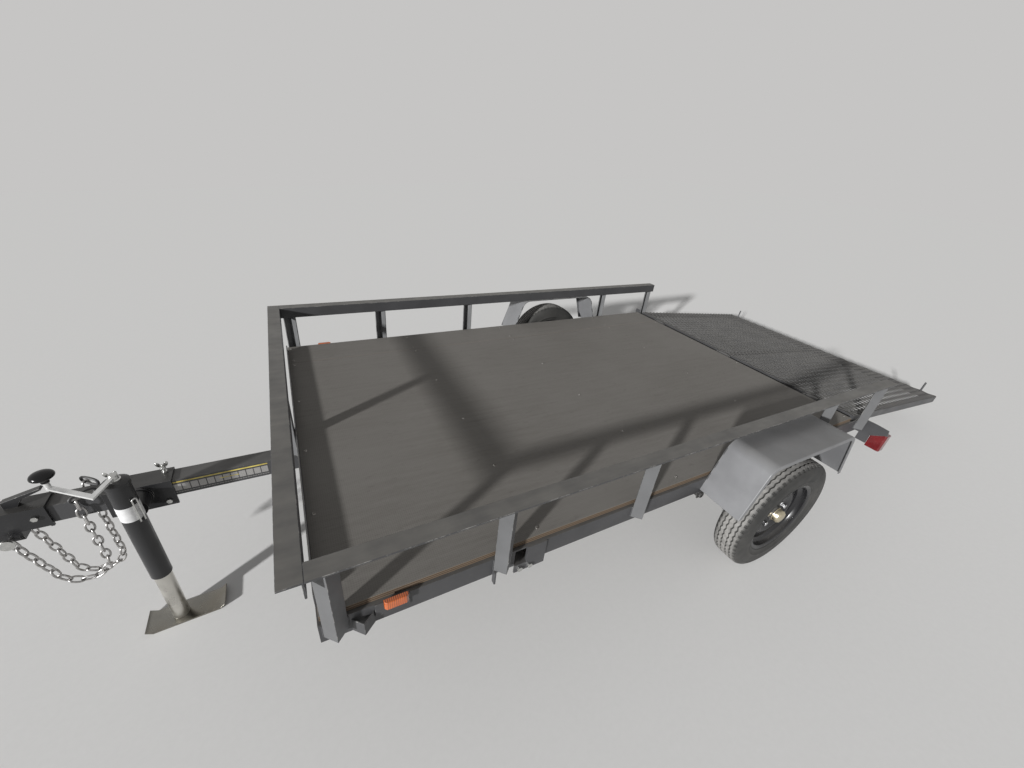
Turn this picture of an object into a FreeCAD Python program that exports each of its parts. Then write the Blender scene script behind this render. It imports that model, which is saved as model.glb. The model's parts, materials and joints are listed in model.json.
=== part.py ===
import FreeCAD, Part
import math
import os
from FreeCAD import Vector as V

# Single-axle utility trailer, standing on its two wheels and its tongue jack.
# The bed is drawn level: x = 0 at the front face of the front rail, +X forward,
# +Y to the left, z = 0 at the top of the rails. Millimetres. At the end the whole
# trailer is tipped nose up by TILT and set down on the ground at z = 0.

# Stance
TILT = 4.5                # nose-up slope of the parked bed, degrees
GATE_DROP = 5.5           # how far the gate hangs below the line of the deck, degrees
CLEAR = 0.3               # clearance of pins, bolts and seats
GAP = 1.0                 # side gap between pieces that turn past each other

# Bed
RAIL_W = 1650.0           # width over the top rails
RAIL_L = 2588.0           # length of the top rails
IRON = 50.8               # leg of the rails' and the frame's angle iron
IRON_T = 5.0              # its thickness
POST_IRON = 40.0          # leg of the posts' angle iron
POST_UP = 23.0            # the posts end this far above the frame's lower edge
DECK_DEPTH = 206.0        # from the top of the rails down to the deck
DECK_T = 18.0
DECK_EDGE = 11.0          # from the frame's side in to the edge of the deck
BEHIND_DECK = 113.0       # length of the rails past the deck's rear edge
STRIP_W = 190.0           # narrow board along the right side
SEAM = 1.0                # gap between the deck's two boards
CHANNEL_H = 67.0          # height of the frame's channels
AXLE_FROM_TAIL = 864.0    # the axle's place, measured from the rails' rear end
POST_FIRST = 88.0         # the first two posts, measured from the front
POST_SECOND = 533.0
POST_AHEAD = 672.0        # the third post is ahead of the axle, the fourth behind it
POST_BEHIND = 378.0
POST_LAST = 43.0          # the last post, measured from the rails' rear end
FRONT_POST_Y = 45.0       # the post under the front rail, left of the middle
FRONT_STOP = 28.0         # the front frame stands this far above the deck
CROSS_FIRST = 640.0       # cross channels, the first two measured from the front
CROSS_SECOND = 1240.0
CROSS_BEHIND = 266.0      # and the third from the axle

# Splice plates on the frame's sides
SPLICE_X = 575.0
SPLICE_L = 105.0
SPLICE_LOW = 27.0         # reach below the frame
SLOT_L = 40.0             # opening in the frame's side ahead of the plate
BOLT_SHANK = 5.0
BOLT_ACROSS = 9.0         # corner radius of a bolt's six-sided head
BOLT_HEAD = 7.0

# Tongue and coupler
TONGUE = 63.5             # square tube
TONGUE_T = 4.0
TONGUE_OUT = 705.0        # how far it reaches ahead of the bed
BALL_R = 25.6             # socket for a 2 inch ball
BALL_AHEAD = 167.0        # ball socket ahead of the tongue's end
SLEEVE = 65.0             # length of the coupler over the tongue
SKIRT = 8.0               # reach of the coupler below the tongue
COUPLER_T = 4.0
NOSE_WALL = 12.0
NOSE_UP = 22.0            # the nose's lower rim above the coupler's lower edge
NOSE_ROUND = 16.0
BALL_UP = 14.0            # ball centre above the nose's lower rim

# Chains
WIRE = 7.0
PITCH = 32.0
LINK_IN_W = 14.0
BOLT_AHEAD = 40.0         # chain bolt ahead of the tongue's end
BOLT_DROP = 20.5          # chain bolt below the coupler
BOLT_R = 4.2
RISE_BACK = 138.0         # where the chains come up again, behind the tongue's end
BEND = 66.0               # radius of their lowest bend
HOOK_WIRE = 9.0
HOOK_IN = 16.0
HOOK_RUN = (-0.8, -0.6)   # the hooks lie slantwise on the tongue
HOOK_REAR = 12.0
HOOK_FRONT = 52.0
LEFT_LINKS = 20
RIGHT_LINKS = 24
CHAIN_Y = 47.0

# Jack
JACK_BACK = 279.0         # jack behind the tongue's end
JACK_Y = 128.0
JACK_R = 30.0
JACK_WALL = 3.5
JACK_UP = 101.0           # jack tube above and below the tongue's top face
JACK_DOWN = 303.0
HEAD_H = 12.0             # height of the gear head
LEG_R = 25.5
LEG_WALL = 3.5
LEG_START = 129.0         # top of the leg below the tongue's top face
PIVOT_R = 22.0
RING_WALL = 10.0          # swivel ring round the pivot
COLLAR = 8.0              # thickness of the collar behind the ring
BRACKET_FRONT = 86.0      # bracket ahead of and behind the pivot
BRACKET_BACK = 90.0
BRACKET_T = 6.0
BRACKET_LOW = 32.0        # cheeks below the tongue
FOOT_L = 204.0
FOOT_BACK = 22.0          # the foot's middle behind the leg
FOOT_W = 92.0
FOOT_T = 6.0
ARM_UP = 18.0             # crank arm above the gear head
ARM_W = 14.0
ARM_T = 6.0
ARM_BEND = (27.0, 76.0)   # the arm's bend and its end, from the jack's axis
ARM_END = (137.0, -6.0)
KNOB = [(0, 20), (9, 20), (11, 33), (24, 38), (27, 45), (19, 54), (0, 58)]   # radius, height

# Axle, wheels and springs
AXLE_DROP = 110.0         # axle below the frame
AXLE_R = 28.0
AXLE_WALL = 6.0
TYRE_R = 262.0
TYRE_W = 122.0
TYRE_GAP = 60.0           # between the tyre and the frame's side
BEAD_R = 155.0
DISC_Y = 6.0              # back face of the rim's disc, from the wheel's middle
SPINDLE_R = 12.5
HUB_END = 26.0            # outer end of the hub, from the wheel's middle
LUG_R = 57.0
LUG_COUNT = 5
SPRING_W = 40.0
SPRING_HALF = 320.0
LEAF_T = 7.0
CAMBER = 38.0             # height of the springs' arch
LEAF_REACH = (SPRING_HALF - 12, 220.0, 120.0)
EYE_R = 15.0
PIN_R = 7.0
HANGER_T = 4.0
CLIP_HALF = 36.0          # U-bolts ahead of and behind the axle
CLIP_R = 5.0
PLATE_T = 6.0

# Fenders
FENDER_SHORT = 12.0       # the tyre stands out this far past the fender
FENDER_OVER = 81.0        # top of the fender above the tyre
FENDER_FOOT = 15.0        # its feet above the frame's lower edge
TOP_PAST = 6.0            # half length of its flat top past the tyre's radius
FOOT_PAST = 80.0          # and half the distance between its feet
FENDER_BEND = 55.0
SHEET = 3.0
LIP = 18.0

# Lamps
GUARD = [(-123, 0), (-149, 26), (-179, 0), (-174, 0), (-149, 22), (-128, 0)]  # x, distance out
GUARD_H = 45.0
MARKER_X = -200.0
MARKER_L = 62.0
MARKER_LOW = 53.0         # lower edge of the marker lens above the frame's lower edge
MARKER_H = 28.0
MARKER_T = 14.0
BASE_T = 4.0              # lamp base plates
CORNER = 6.0              # bevel on the corners of the lenses
WING = [(-5, 67), (59, 67), (115, 63), (120, 36), (59, -1), (59, -49), (11, -49), (11, -9), (-5, -9)]
LAMP_IN = 59.0            # tail lamp from the frame's side out
LAMP_W = 63.0
LAMP_TOP = 29.0           # above the frame's lower edge
LAMP_H = 91.0
LAMP_T = 48.0

# Gate
GATE_L = 1150.0
GATE_SIDE = 14.0          # gap between the gate and the rails' inner faces
GATE_IRON = 38.0
GATE_T = 4.0
RIB_T = 6.0               # flat bar under the middle of the gate
RIB_H = 20.0
HINGE_BACK = 30.0         # hinge line behind the deck and below its face
HINGE_DOWN = 12.0
HINGE_R = 8.0
HINGE_IN = 200.0          # outer hinges from the gate's sides
LUG_HALF = 30.0
EAR_T = 8.0
EAR_GAP = 4.0
MESH_COLS = 8
MESH_ROWS = 12
STRAND = 9.0
STOP_IN = 80.0            # upright stop pins on the gate's far edge
STOP_H = 62.0
STOP_R = 5.0

RAIL_LEG_Y = RAIL_W / 2 - IRON
OUTER_Y = RAIL_LEG_Y + IRON_T
DECK_TOP = -DECK_DEPTH
FRAME_TOP = DECK_TOP - DECK_T
FRAME_BOT = FRAME_TOP - CHANNEL_H
DECK_FRONT = -IRON - IRON_T
DECK_REAR = BEHIND_DECK - RAIL_L
AXLE_X = AXLE_FROM_TAIL - RAIL_L
AXLE_Z = FRAME_BOT - AXLE_DROP
POST_X = [-POST_FIRST, -POST_SECOND, AXLE_X + POST_AHEAD, AXLE_X - POST_BEHIND, POST_LAST - RAIL_L]
CROSS_X = [-CROSS_FIRST, -CROSS_SECOND, AXLE_X - CROSS_BEHIND]
TONGUE_TOP = FRAME_BOT
TONGUE_BOT = TONGUE_TOP - TONGUE
TUBE_HALF = TONGUE / 2
COUPLER_TOP = TONGUE_TOP + COUPLER_T
COUPLER_BOT = TONGUE_BOT - SKIRT
BOLT_X = TONGUE_OUT + BOLT_AHEAD
BOLT_Z = COUPLER_BOT - BOLT_DROP
RISE_X = TONGUE_OUT - RISE_BACK
HOLD_Z = TONGUE_TOP + HOOK_WIRE + CLEAR
WIRE_GRIP = WIRE + 2 * CLEAR
JACK_X = TONGUE_OUT - JACK_BACK
JACK_TOP = TONGUE_TOP + JACK_UP
JACK_BOTTOM = TONGUE_TOP - JACK_DOWN
LEG_TOP = TONGUE_TOP - LEG_START
PIVOT_Z = (TONGUE_TOP + TONGUE_BOT) / 2
WHEEL_Y = OUTER_Y + TYRE_GAP + TYRE_W / 2
SPRING_Y = OUTER_Y - IRON / 2

nodes = {}


def box(x0, x1, y0, y1, z0, z1):
    corner = V(min(x0, x1), min(y0, y1), min(z0, z1))
    return Part.makeBox(abs(x1 - x0), abs(y1 - y0), abs(z1 - z0), corner)


def prism(points, run):
    return Part.Face(Part.makePolygon([V(*p) for p in points] + [V(*points[0])])).extrude(V(*run))


def prism_x(points, x0, x1):
    return prism([(x0, y, z) for y, z in points], (x1 - x0, 0, 0))


def prism_y(points, y0, y1):
    return prism([(x, y0, z) for x, z in points], (0, y1 - y0, 0))


def prism_z(points, z0, z1):
    return prism([(x, y, z0) for x, y in points], (0, 0, z1 - z0))


def rod(a, b, r):
    run = V(*b) - V(*a)
    return Part.makeCylinder(r, run.Length, V(*a), run)


def pipe(a, b, r, bore):
    return rod(a, b, r).cut(rod(a, b, bore))


def turned(profile, x, y, z):
    # profile of (radius, width) pairs turned about the line through x, z along Y
    face = Part.Face(Part.makePolygon([V(x + r, y + w, z) for r, w in profile + profile[:1]]))
    return face.revolve(V(x, y, z), V(0, 1, 0), 360)


def hexagon(x, y0, y1, z, r):
    turns = [math.radians(a) for a in range(0, 360, 60)]
    return prism_y([(x + r * math.cos(t), z + r * math.sin(t)) for t in turns], y0, y1)


def bolt(x, y0, y1, z):
    # a bolt along Y with its head and nut outside the faces y0 and y1
    ends = [hexagon(x, y0 - BOLT_HEAD, y0, z, BOLT_ACROSS), hexagon(x, y1, y1 + BOLT_HEAD, z, BOLT_ACROSS)]
    return rod((x, y0, z), (x, y1, z), BOLT_SHANK).fuse(ends)


def bolt_hole(x, y0, y1, z):
    return rod((x, y0 - GAP, z), (x, y1 + GAP, z), BOLT_SHANK + CLEAR)


def miter(before, here, after):
    # move of an outline's corner that sets both of its sides off by one
    d0 = V(here - before).normalize()
    d1 = V(after - here).normalize()
    out = V(-d0.y - d1.y, d0.x + d1.x, 0)
    return out * (1 / out.dot(V(-d0.y, d0.x, 0)))


def ribbon(points, width):
    # outline of a strip that follows the points
    line = [V(x, y, 0) for x, y in points]
    line = [line[0] * 2 - line[1]] + line + [line[-1] * 2 - line[-2]]
    sides = [(p, miter(a, p, b) * (width / 2)) for a, p, b in zip(line, line[1:], line[2:])]
    left = [p + m for p, m in sides]
    right = [p - m for p, m in reversed(sides)]
    return [(p.x, p.y) for p in left + right]


def path(points, radius):
    # straight runs through the points, joined by tangent arcs
    line = [V(*p) for p in points]
    edges = []
    start = line[0]
    for before, corner, after in zip(line, line[1:], line[2:]):
        back = V(before - corner).normalize()
        ahead = V(after - corner).normalize()
        half_angle = back.getAngle(ahead) / 2
        cut = radius / math.tan(half_angle)
        middle = V(back + ahead).normalize() * (radius / math.sin(half_angle) - radius)
        end = corner + back * cut
        edges.append(Part.makeLine(start, end))
        start = corner + ahead * cut
        edges.append(Part.Arc(end, corner + middle, start).toShape())
    edges.append(Part.makeLine(start, line[-1]))
    return edges


def flip(shape):
    return shape.mirror(V(0, 0, 0), V(0, 1, 0))


def pair(name, shape):
    nodes[name + "_left"] = shape
    nodes[name + "_right"] = flip(shape)


def both(name, solids):
    nodes[name] = Part.makeCompound(solids + [flip(s) for s in solids])


# Top rails: angle iron with its flange outward and its leg down at the inner edge.
rail_profile = [(RAIL_LEG_Y, 0), (RAIL_W / 2, 0), (RAIL_W / 2, -IRON_T), (OUTER_Y, -IRON_T),
                (OUTER_Y, -IRON), (RAIL_LEG_Y, -IRON)]
both("side_rails", [prism_x(rail_profile, -IRON, -RAIL_L)])
front_profile = [(0, 0), (-IRON, 0), (-IRON, -IRON), (IRON_T - IRON, -IRON), (IRON_T - IRON, -IRON_T),
                 (0, -IRON_T)]
nodes["rail_front"] = prism_y(front_profile, -RAIL_W / 2, RAIL_W / 2)

# Posts: angle iron turned so that its corner points outward, leg edges on the frame.
# Five stand along each side and one under the front rail, notched round the rail's leg.
reach = POST_IRON / math.sqrt(2)
thin = IRON_T / math.sqrt(2)
tip_y = OUTER_Y + reach + thin
side_posts = []
for x in POST_X:
    corner = [(x, tip_y), (x + reach, tip_y - reach), (x + reach - thin, OUTER_Y), (x, tip_y - 2 * thin),
              (x - reach + thin, OUTER_Y), (x - reach, tip_y - reach)]
    side_posts.append(prism_z(corner, FRAME_BOT + POST_UP, -IRON_T))
tip_x = -IRON + reach + thin
corner = [(tip_x, FRONT_POST_Y), (tip_x - reach, FRONT_POST_Y + reach), (-IRON, FRONT_POST_Y + reach - thin),
          (tip_x - 2 * thin, FRONT_POST_Y), (-IRON, FRONT_POST_Y - reach + thin),
          (tip_x - reach, FRONT_POST_Y - reach)]
notch = box(-IRON, IRON_T - IRON, FRONT_POST_Y - reach, FRONT_POST_Y + reach, -IRON, 0)
front_post = prism_z(corner, FRAME_BOT + POST_UP, -IRON_T).cut(notch)
nodes["posts"] = Part.makeCompound(side_posts + [flip(post) for post in side_posts] + [front_post])


def channel(start, back, top, bottom):
    # section of a channel whose web is at start and whose flanges reach back
    step = math.copysign(IRON_T, back)
    end = start + back
    return [(start, top), (start, bottom), (end, bottom), (end, bottom + IRON_T),
            (start + step, bottom + IRON_T), (start + step, top - IRON_T), (end, top - IRON_T), (end, top)]


# Frame sides: channels with a tail plate each, and a splice plate beside a slot in the web.
side = prism_x(channel(OUTER_Y, -IRON, FRAME_TOP, FRAME_BOT), -IRON, DECK_REAR)
tail = box(DECK_REAR, -RAIL_L, OUTER_Y - IRON_T, OUTER_Y, FRAME_BOT, FRAME_TOP)
slot_rear = -SPLICE_X - SLOT_L
splice_low = FRAME_BOT - SPLICE_LOW
splice = prism_y([(-SPLICE_X, splice_low), (-SPLICE_X, FRAME_BOT + IRON_T), (slot_rear, FRAME_BOT + IRON_T),
                  (slot_rear, FRAME_TOP), (-SPLICE_X - SPLICE_L, FRAME_TOP),
                  (-SPLICE_X - SPLICE_L, splice_low)], OUTER_Y, OUTER_Y + IRON_T)
slot = box(-SPLICE_X, slot_rear, OUTER_Y - 2 * IRON_T, OUTER_Y + IRON_T, FRAME_BOT + IRON_T,
           FRAME_TOP - IRON_T)
lug_x = -POST_SECOND + reach - IRON_T
lug = box(lug_x, lug_x + IRON_T, OUTER_Y, OUTER_Y + 3 * IRON_T, splice_low, FRAME_BOT + POST_UP - GAP)
splice_bolts_x = [-SPLICE_X - 2 * BOLT_ACROSS, -SPLICE_X - SPLICE_L / 2]
splice_bolts_z = FRAME_BOT - SPLICE_LOW / 2
splice_holes = [bolt_hole(x, OUTER_Y, OUTER_Y + IRON_T, splice_bolts_z) for x in splice_bolts_x]
both("frame_sides", [side.fuse([tail, splice, lug]).cut([slot] + splice_holes).removeSplitter()])

# Cross members: a front channel whose web stands up as a stop for the deck, a rear angle,
# and the cross channels between them.
inner = OUTER_Y - IRON
stop_top = DECK_TOP + FRONT_STOP
front_frame = [(-IRON, stop_top), (-IRON, FRAME_BOT), (-2 * IRON, FRAME_BOT),
               (-2 * IRON, FRAME_BOT + IRON_T), (DECK_FRONT, FRAME_BOT + IRON_T),
               (DECK_FRONT, FRAME_TOP - IRON_T), (-2 * IRON, FRAME_TOP - IRON_T),
               (-2 * IRON, FRAME_TOP), (DECK_FRONT, FRAME_TOP), (DECK_FRONT, stop_top)]
rear_frame = [(DECK_REAR, FRAME_TOP), (DECK_REAR, FRAME_BOT), (DECK_REAR + IRON, FRAME_BOT),
              (DECK_REAR + IRON, FRAME_BOT + IRON_T), (DECK_REAR + IRON_T, FRAME_BOT + IRON_T),
              (DECK_REAR + IRON_T, FRAME_TOP)]
sections = [front_frame, rear_frame] + [channel(x, -IRON, FRAME_TOP, FRAME_BOT) for x in CROSS_X]
nodes["cross_members"] = Part.makeCompound([prism_y(section, -inner, inner) for section in sections])

# Deck: one wide sheet and a narrow board beside it.
deck_half = OUTER_Y - DECK_EDGE
seam_y = STRIP_W - deck_half
nodes["deck_sheet"] = box(DECK_FRONT, DECK_REAR, seam_y + SEAM, deck_half, FRAME_TOP, DECK_TOP)
nodes["deck_board"] = box(DECK_FRONT, DECK_REAR, -deck_half, seam_y, FRAME_TOP, DECK_TOP)

# Tongue: one square tube under the middle of the frame, with a bolt hole for the coupler.
tongue_wall = TUBE_HALF - TONGUE_T
tongue_rear = CROSS_X[1] - IRON
sleeve_bolt_x = TONGUE_OUT - SLEEVE / 2
sleeve_bolt_z = (TONGUE_TOP + TONGUE_BOT) / 2
tongue = box(tongue_rear, TONGUE_OUT, -TUBE_HALF, TUBE_HALF, TONGUE_BOT, TONGUE_TOP)
hollow = box(tongue_rear, TONGUE_OUT, -tongue_wall, tongue_wall, TONGUE_BOT + TONGUE_T,
             TONGUE_TOP - TONGUE_T)
nodes["tongue"] = tongue.cut([hollow, bolt_hole(sleeve_bolt_x, -TUBE_HALF, TUBE_HALF, sleeve_bolt_z)])

# Coupler: a pressed sleeve over the end of the tongue, with the ball socket in its round nose.
sleeve_half = TUBE_HALF + COUPLER_T
sleeve_rear = TONGUE_OUT - SLEEVE
socket_x = TONGUE_OUT + BALL_AHEAD
nose_r = BALL_R + NOSE_WALL
nose_bot = COUPLER_BOT + NOSE_UP
ball_z = nose_bot + BALL_UP
shoulder = socket_x - nose_r + COUPLER_T
shell = box(sleeve_rear, shoulder, -sleeve_half, sleeve_half, COUPLER_BOT, COUPLER_TOP)
dome_low = V(socket_x + nose_r, 0, COUPLER_TOP - NOSE_ROUND)
dome_top = V(socket_x + nose_r - NOSE_ROUND, 0, COUPLER_TOP)
dome_turn = NOSE_ROUND * (1 - math.sqrt(0.5))
dome_middle = V(socket_x + nose_r - dome_turn, 0, COUPLER_TOP - dome_turn)
foot_of_nose = V(socket_x + nose_r, 0, nose_bot)
axis_low = V(socket_x, 0, nose_bot)
axis_top = V(socket_x, 0, COUPLER_TOP)
nose_outline = [Part.makeLine(axis_low, foot_of_nose), Part.makeLine(foot_of_nose, dome_low),
                Part.Arc(dome_low, dome_middle, dome_top).toShape(), Part.makeLine(dome_top, axis_top),
                Part.makeLine(axis_top, axis_low)]
nose = Part.Face(Part.Wire(nose_outline)).revolve(axis_low, V(0, 0, 1), 360)
throat_plan = [(shoulder, -sleeve_half), (socket_x, -nose_r), (socket_x, nose_r), (shoulder, sleeve_half)]
throat = prism_z(throat_plan, nose_bot, COUPLER_TOP - NOSE_ROUND / 2)
rim_x = sleeve_rear + 2 * COUPLER_T
flare = box(sleeve_rear, rim_x, -sleeve_half - COUPLER_T, sleeve_half + COUPLER_T, COUPLER_BOT,
            COUPLER_TOP + COUPLER_T)
cavity = box(sleeve_rear, TONGUE_OUT, -TUBE_HALF, TUBE_HALF, COUPLER_BOT, TONGUE_TOP)
bay = box(TONGUE_OUT, shoulder - 3 * COUPLER_T, -TUBE_HALF, TUBE_HALF, COUPLER_BOT, COUPLER_TOP - COUPLER_T)
socket = Part.makeSphere(BALL_R, V(socket_x, 0, ball_z))
mouth = Part.makeCylinder(BALL_R, ball_z - COUPLER_BOT, V(socket_x, 0, COUPLER_BOT))
sleeve_hole = bolt_hole(sleeve_bolt_x, -sleeve_half, sleeve_half, sleeve_bolt_z)
shell = shell.fuse([nose, throat, flare]).cut([cavity, bay, socket, mouth, sleeve_hole])
nodes["coupler"] = shell.removeSplitter()

# Coupler latch: a lever that lies back over the sleeve, its side as (x, height) from the coupler.
lever = [(30, 0), (30, 24), (-5, 34), (-61, 50), (-65, 44), (-15, 24), (0, 0)]
nodes["coupler_latch"] = prism_y([(TONGUE_OUT + x, COUPLER_TOP + z) for x, z in lever], -10, 10)

# Chain bolt: a tab under the coupler with a cross bolt that carries both chains.
tab_half = TUBE_HALF - COUPLER_T
tab = box(BOLT_X - tab_half, BOLT_X + tab_half, -TUBE_HALF, TUBE_HALF, BOLT_Z - 14, COUPLER_BOT + 10)
tab_hole = rod((BOLT_X, -TUBE_HALF, BOLT_Z), (BOLT_X, TUBE_HALF, BOLT_Z), BOLT_R + CLEAR)
nodes["chain_tab"] = tab.cut(tab_hole)
bolt_end = CHAIN_Y + LINK_IN_W / 2 + 1
chain_bolt = rod((BOLT_X, -bolt_end, BOLT_Z), (BOLT_X, bolt_end, BOLT_Z), BOLT_R)
heads = [rod((BOLT_X, s * bolt_end, BOLT_Z), (BOLT_X, s * (bolt_end + 8), BOLT_Z), 18) for s in (-1, 1)]
nodes["chain_bolt"] = chain_bolt.fuse(heads)


def link(a, b, broad, wire, inner_w, start, end):
    # one welded link between two joint points: a loop of wire with a six-sided section
    along = V(b - a).normalize()
    up = along.cross(broad).normalize()
    across = up.cross(along)
    bow = (inner_w + wire) / 2
    middle = (a + b) / 2
    front = (b - a).Length / 2 + end - bow
    back = (b - a).Length / 2 + start - bow
    loop = []
    for centre, turns in ((front, (90, 30, -30, -90)), (-back, (-90, -150, 150, 90))):
        for turn in turns:
            t = math.radians(turn)
            loop.append(V(centre + bow * math.cos(t) / math.cos(math.radians(30)), bow * math.sin(t), 0))
    rings = []
    for before, p, after in zip(loop[-1:] + loop, loop, loop[1:] + loop[:1]):
        out = miter(before, p, after)
        ring = []
        for t in (math.radians(60 * k) for k in range(6)):
            q = p + out * (wire / 2 * math.cos(t))
            ring.append(middle + along * q.x + across * q.y + up * (wire / 2 * math.sin(t)))
        rings.append(ring)
    faces = []
    for r0, r1 in zip(rings, rings[1:] + rings[:1]):
        for k in range(6):
            m = (k + 1) % 6
            faces.append(Part.Face(Part.makePolygon([r0[k], r0[m], r1[m], r1[k], r0[k]])))
    solid = Part.Solid(Part.makeShell(faces))
    if solid.Volume < 0:
        solid.reverse()
    return solid


def joints_along(route):
    # points one pitch apart along a hanging route, and what is left over at its end
    marks = [route[0]]
    here = route[0]
    for goal in route[1:]:
        while (goal - marks[-1]).Length >= PITCH:
            ahead = V(goal - here).normalize()
            passed = (here - marks[-1]).dot(ahead)
            lacking = (here - marks[-1]).Length ** 2 - PITCH ** 2
            here = here + ahead * (math.sqrt(passed ** 2 - lacking) - passed)
            marks.append(here)
        here = goal
    return marks, (route[-1] - marks[-1]).Length


def hanging(y, low):
    # down from the bolt, round a wide bend and up beside the tongue
    route = [V(BOLT_X, y, BOLT_Z)]
    for t in (math.radians(a) for a in range(0, -181, -12)):
        route.append(V(RISE_X + BEND + BEND * math.cos(t), y, low + BEND + BEND * math.sin(t)))
    return route + [V(RISE_X, y, HOLD_Z)]


def chain(y, count):
    # the bend sinks until the route is just as long as the chain
    deep = BOLT_Z - count * PITCH
    high = BOLT_Z - BEND
    while high - deep > 1e-6:
        low = (deep + high) / 2
        marks, rest = joints_along(hanging(y, low))
        if len(marks) - 1 + rest / PITCH > count:
            deep = low
        else:
            high = low
    marks = marks[:count] + [V(RISE_X, y, HOLD_Z)]
    runs = [V(b - a).normalize() for a, b in zip(marks, marks[1:])]
    # every second link is turned by a right angle, and the last one faces its hook
    natural = 90 * (count % 2)
    facing = math.degrees(math.atan2(HOOK_RUN[1] * y / abs(y), HOOK_RUN[0]))
    twist = (facing - natural + 90) % 180 - 90
    links = []
    for n, run in enumerate(runs):
        t = math.radians(90 * (n + 1) + twist * n / (count - 1))
        bar = V(0, 1, 0) * math.cos(t) + run.cross(V(0, 1, 0)) * math.sin(t)
        start = WIRE / 2 + CLEAR + (BOLT_R + CLEAR if n == 0 else 0)
        end = WIRE / 2 + 3 * CLEAR
        if n > 0:
            start = WIRE_GRIP / (1 + run.dot(runs[n - 1]))
        if n + 1 < count:
            end = WIRE_GRIP / (1 + run.dot(runs[n + 1]))
        links.append(link(marks[n], marks[n + 1], bar, WIRE, LINK_IN_W, start, end))
    return links


# Safety chains: from the chain bolt down, round and up to the hooks on the tongue.
left_links = chain(CHAIN_Y, LEFT_LINKS)
right_links = chain(-CHAIN_Y, RIGHT_LINKS)
nodes["safety_chains"] = Part.makeCompound(left_links + right_links)

# Hooks: one on the end of each chain, standing on the tongue.
hooks = []
for s in (1, -1):
    run = V(HOOK_RUN[0], s * HOOK_RUN[1], 0)
    eye = V(RISE_X, s * CHAIN_Y, HOLD_Z + HOOK_IN / 2)
    hooks.append(link(eye - run * HOOK_REAR, eye + run * HOOK_FRONT, V(0, 0, 1), HOOK_WIRE, HOOK_IN, 0, 0))
nodes["chain_hooks"] = Part.makeCompound(hooks)

# Jack bracket: a channel over the tongue with a spindle on its left cheek.
bracket_front = JACK_X + BRACKET_FRONT
bracket_rear = JACK_X - BRACKET_BACK
bracket_top = TONGUE_TOP + BRACKET_T
bracket_bot = TONGUE_BOT - BRACKET_LOW
cheek_y = TUBE_HALF + BRACKET_T
cheeks = [box(bracket_rear, bracket_front, s * TUBE_HALF, s * cheek_y, bracket_bot, bracket_top)
          for s in (-1, 1)]
saddle = box(bracket_rear, bracket_front, -cheek_y, cheek_y, TONGUE_TOP, bracket_top)
spindle_end = JACK_Y - JACK_R - 2 * BRACKET_T
spindle = rod((JACK_X, cheek_y, PIVOT_Z), (JACK_X, spindle_end, PIVOT_Z), PIVOT_R)
collar_r = PIVOT_R + RING_WALL + COLLAR / 2
collar = rod((JACK_X, cheek_y, PIVOT_Z), (JACK_X, cheek_y + COLLAR, PIVOT_Z), collar_r)
clamp_x = [bracket_rear + 22, bracket_front - 22]
clamp_z = TONGUE_BOT - 12
clamp_holes = [bolt_hole(x, -cheek_y, cheek_y, clamp_z) for x in clamp_x]
bracket = saddle.fuse(cheeks + [spindle, collar]).cut(clamp_holes)
nodes["jack_bracket"] = bracket.removeSplitter()

# Bolts: through the jack's bracket, its studs, through the coupler and the splice plates.
bolts = [bolt(x, -cheek_y, cheek_y, clamp_z) for x in clamp_x]
bolts += [rod((x, -14, bracket_top), (x, -14, bracket_top + 34), 4).fuse(
    rod((x, -14, bracket_top), (x, -14, bracket_top + 8), 8)) for x in clamp_x]
bolts.append(bolt(sleeve_bolt_x, -sleeve_half, sleeve_half, sleeve_bolt_z))
for x in splice_bolts_x:
    splice_bolt = bolt(x, OUTER_Y, OUTER_Y + IRON_T, splice_bolts_z)
    bolts += [splice_bolt, flip(splice_bolt)]
nodes["bracket_bolts"] = Part.makeCompound(bolts)

# Jack: outer tube with a swivel ring that turns on the bracket's spindle, and a gear head.
tube_foot = (JACK_X, JACK_Y, JACK_BOTTOM)
tube_head = (JACK_X, JACK_Y, JACK_TOP)
head_top = JACK_TOP + HEAD_H
ring_y = cheek_y + COLLAR + GAP
ring = pipe((JACK_X, ring_y, PIVOT_Z), (JACK_X, JACK_Y - JACK_R + JACK_WALL, PIVOT_Z), PIVOT_R + RING_WALL,
            PIVOT_R + CLEAR)
ring = ring.cut(rod(tube_foot, tube_head, JACK_R - 1))
cap = Part.makeCylinder(JACK_R + 3, HEAD_H, V(*tube_head))
cap = cap.fuse(Part.makeCone(JACK_R + 3, JACK_R - 8, HEAD_H / 2, V(JACK_X, JACK_Y, head_top)))
jack_tube = pipe(tube_foot, tube_head, JACK_R, JACK_R - JACK_WALL).fuse([ring, cap])
nodes["jack_tube"] = jack_tube.removeSplitter()

# Crank: a bent flat arm on the gear head's shaft, with a knob on its end.
arm_z = head_top + ARM_UP
arm_line = [(JACK_X, JACK_Y), (JACK_X + ARM_BEND[0], JACK_Y + ARM_BEND[1]),
            (JACK_X + ARM_END[0], JACK_Y + ARM_END[1])]
knob_x, knob_y = arm_line[-1]
shaft = rod((JACK_X, JACK_Y, head_top + HEAD_H / 2), (JACK_X, JACK_Y, arm_z + ARM_T / 2), ARM_W / 2)
grip = rod((knob_x, knob_y, arm_z - ARM_T / 2), (knob_x, knob_y, arm_z + KNOB[0][1]), ARM_W / 2)
arm = prism_z(ribbon(arm_line, ARM_W), arm_z - ARM_T / 2, arm_z + ARM_T / 2)
nodes["jack_crank"] = arm.fuse([shaft, grip]).removeSplitter()
knob_outline = [V(knob_x + r, knob_y, arm_z + h) for r, h in KNOB + KNOB[:1]]
knob_face = Part.Face(Part.makePolygon(knob_outline))
nodes["jack_knob"] = knob_face.revolve(V(knob_x, knob_y, arm_z), V(0, 0, 1), 360)

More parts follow.
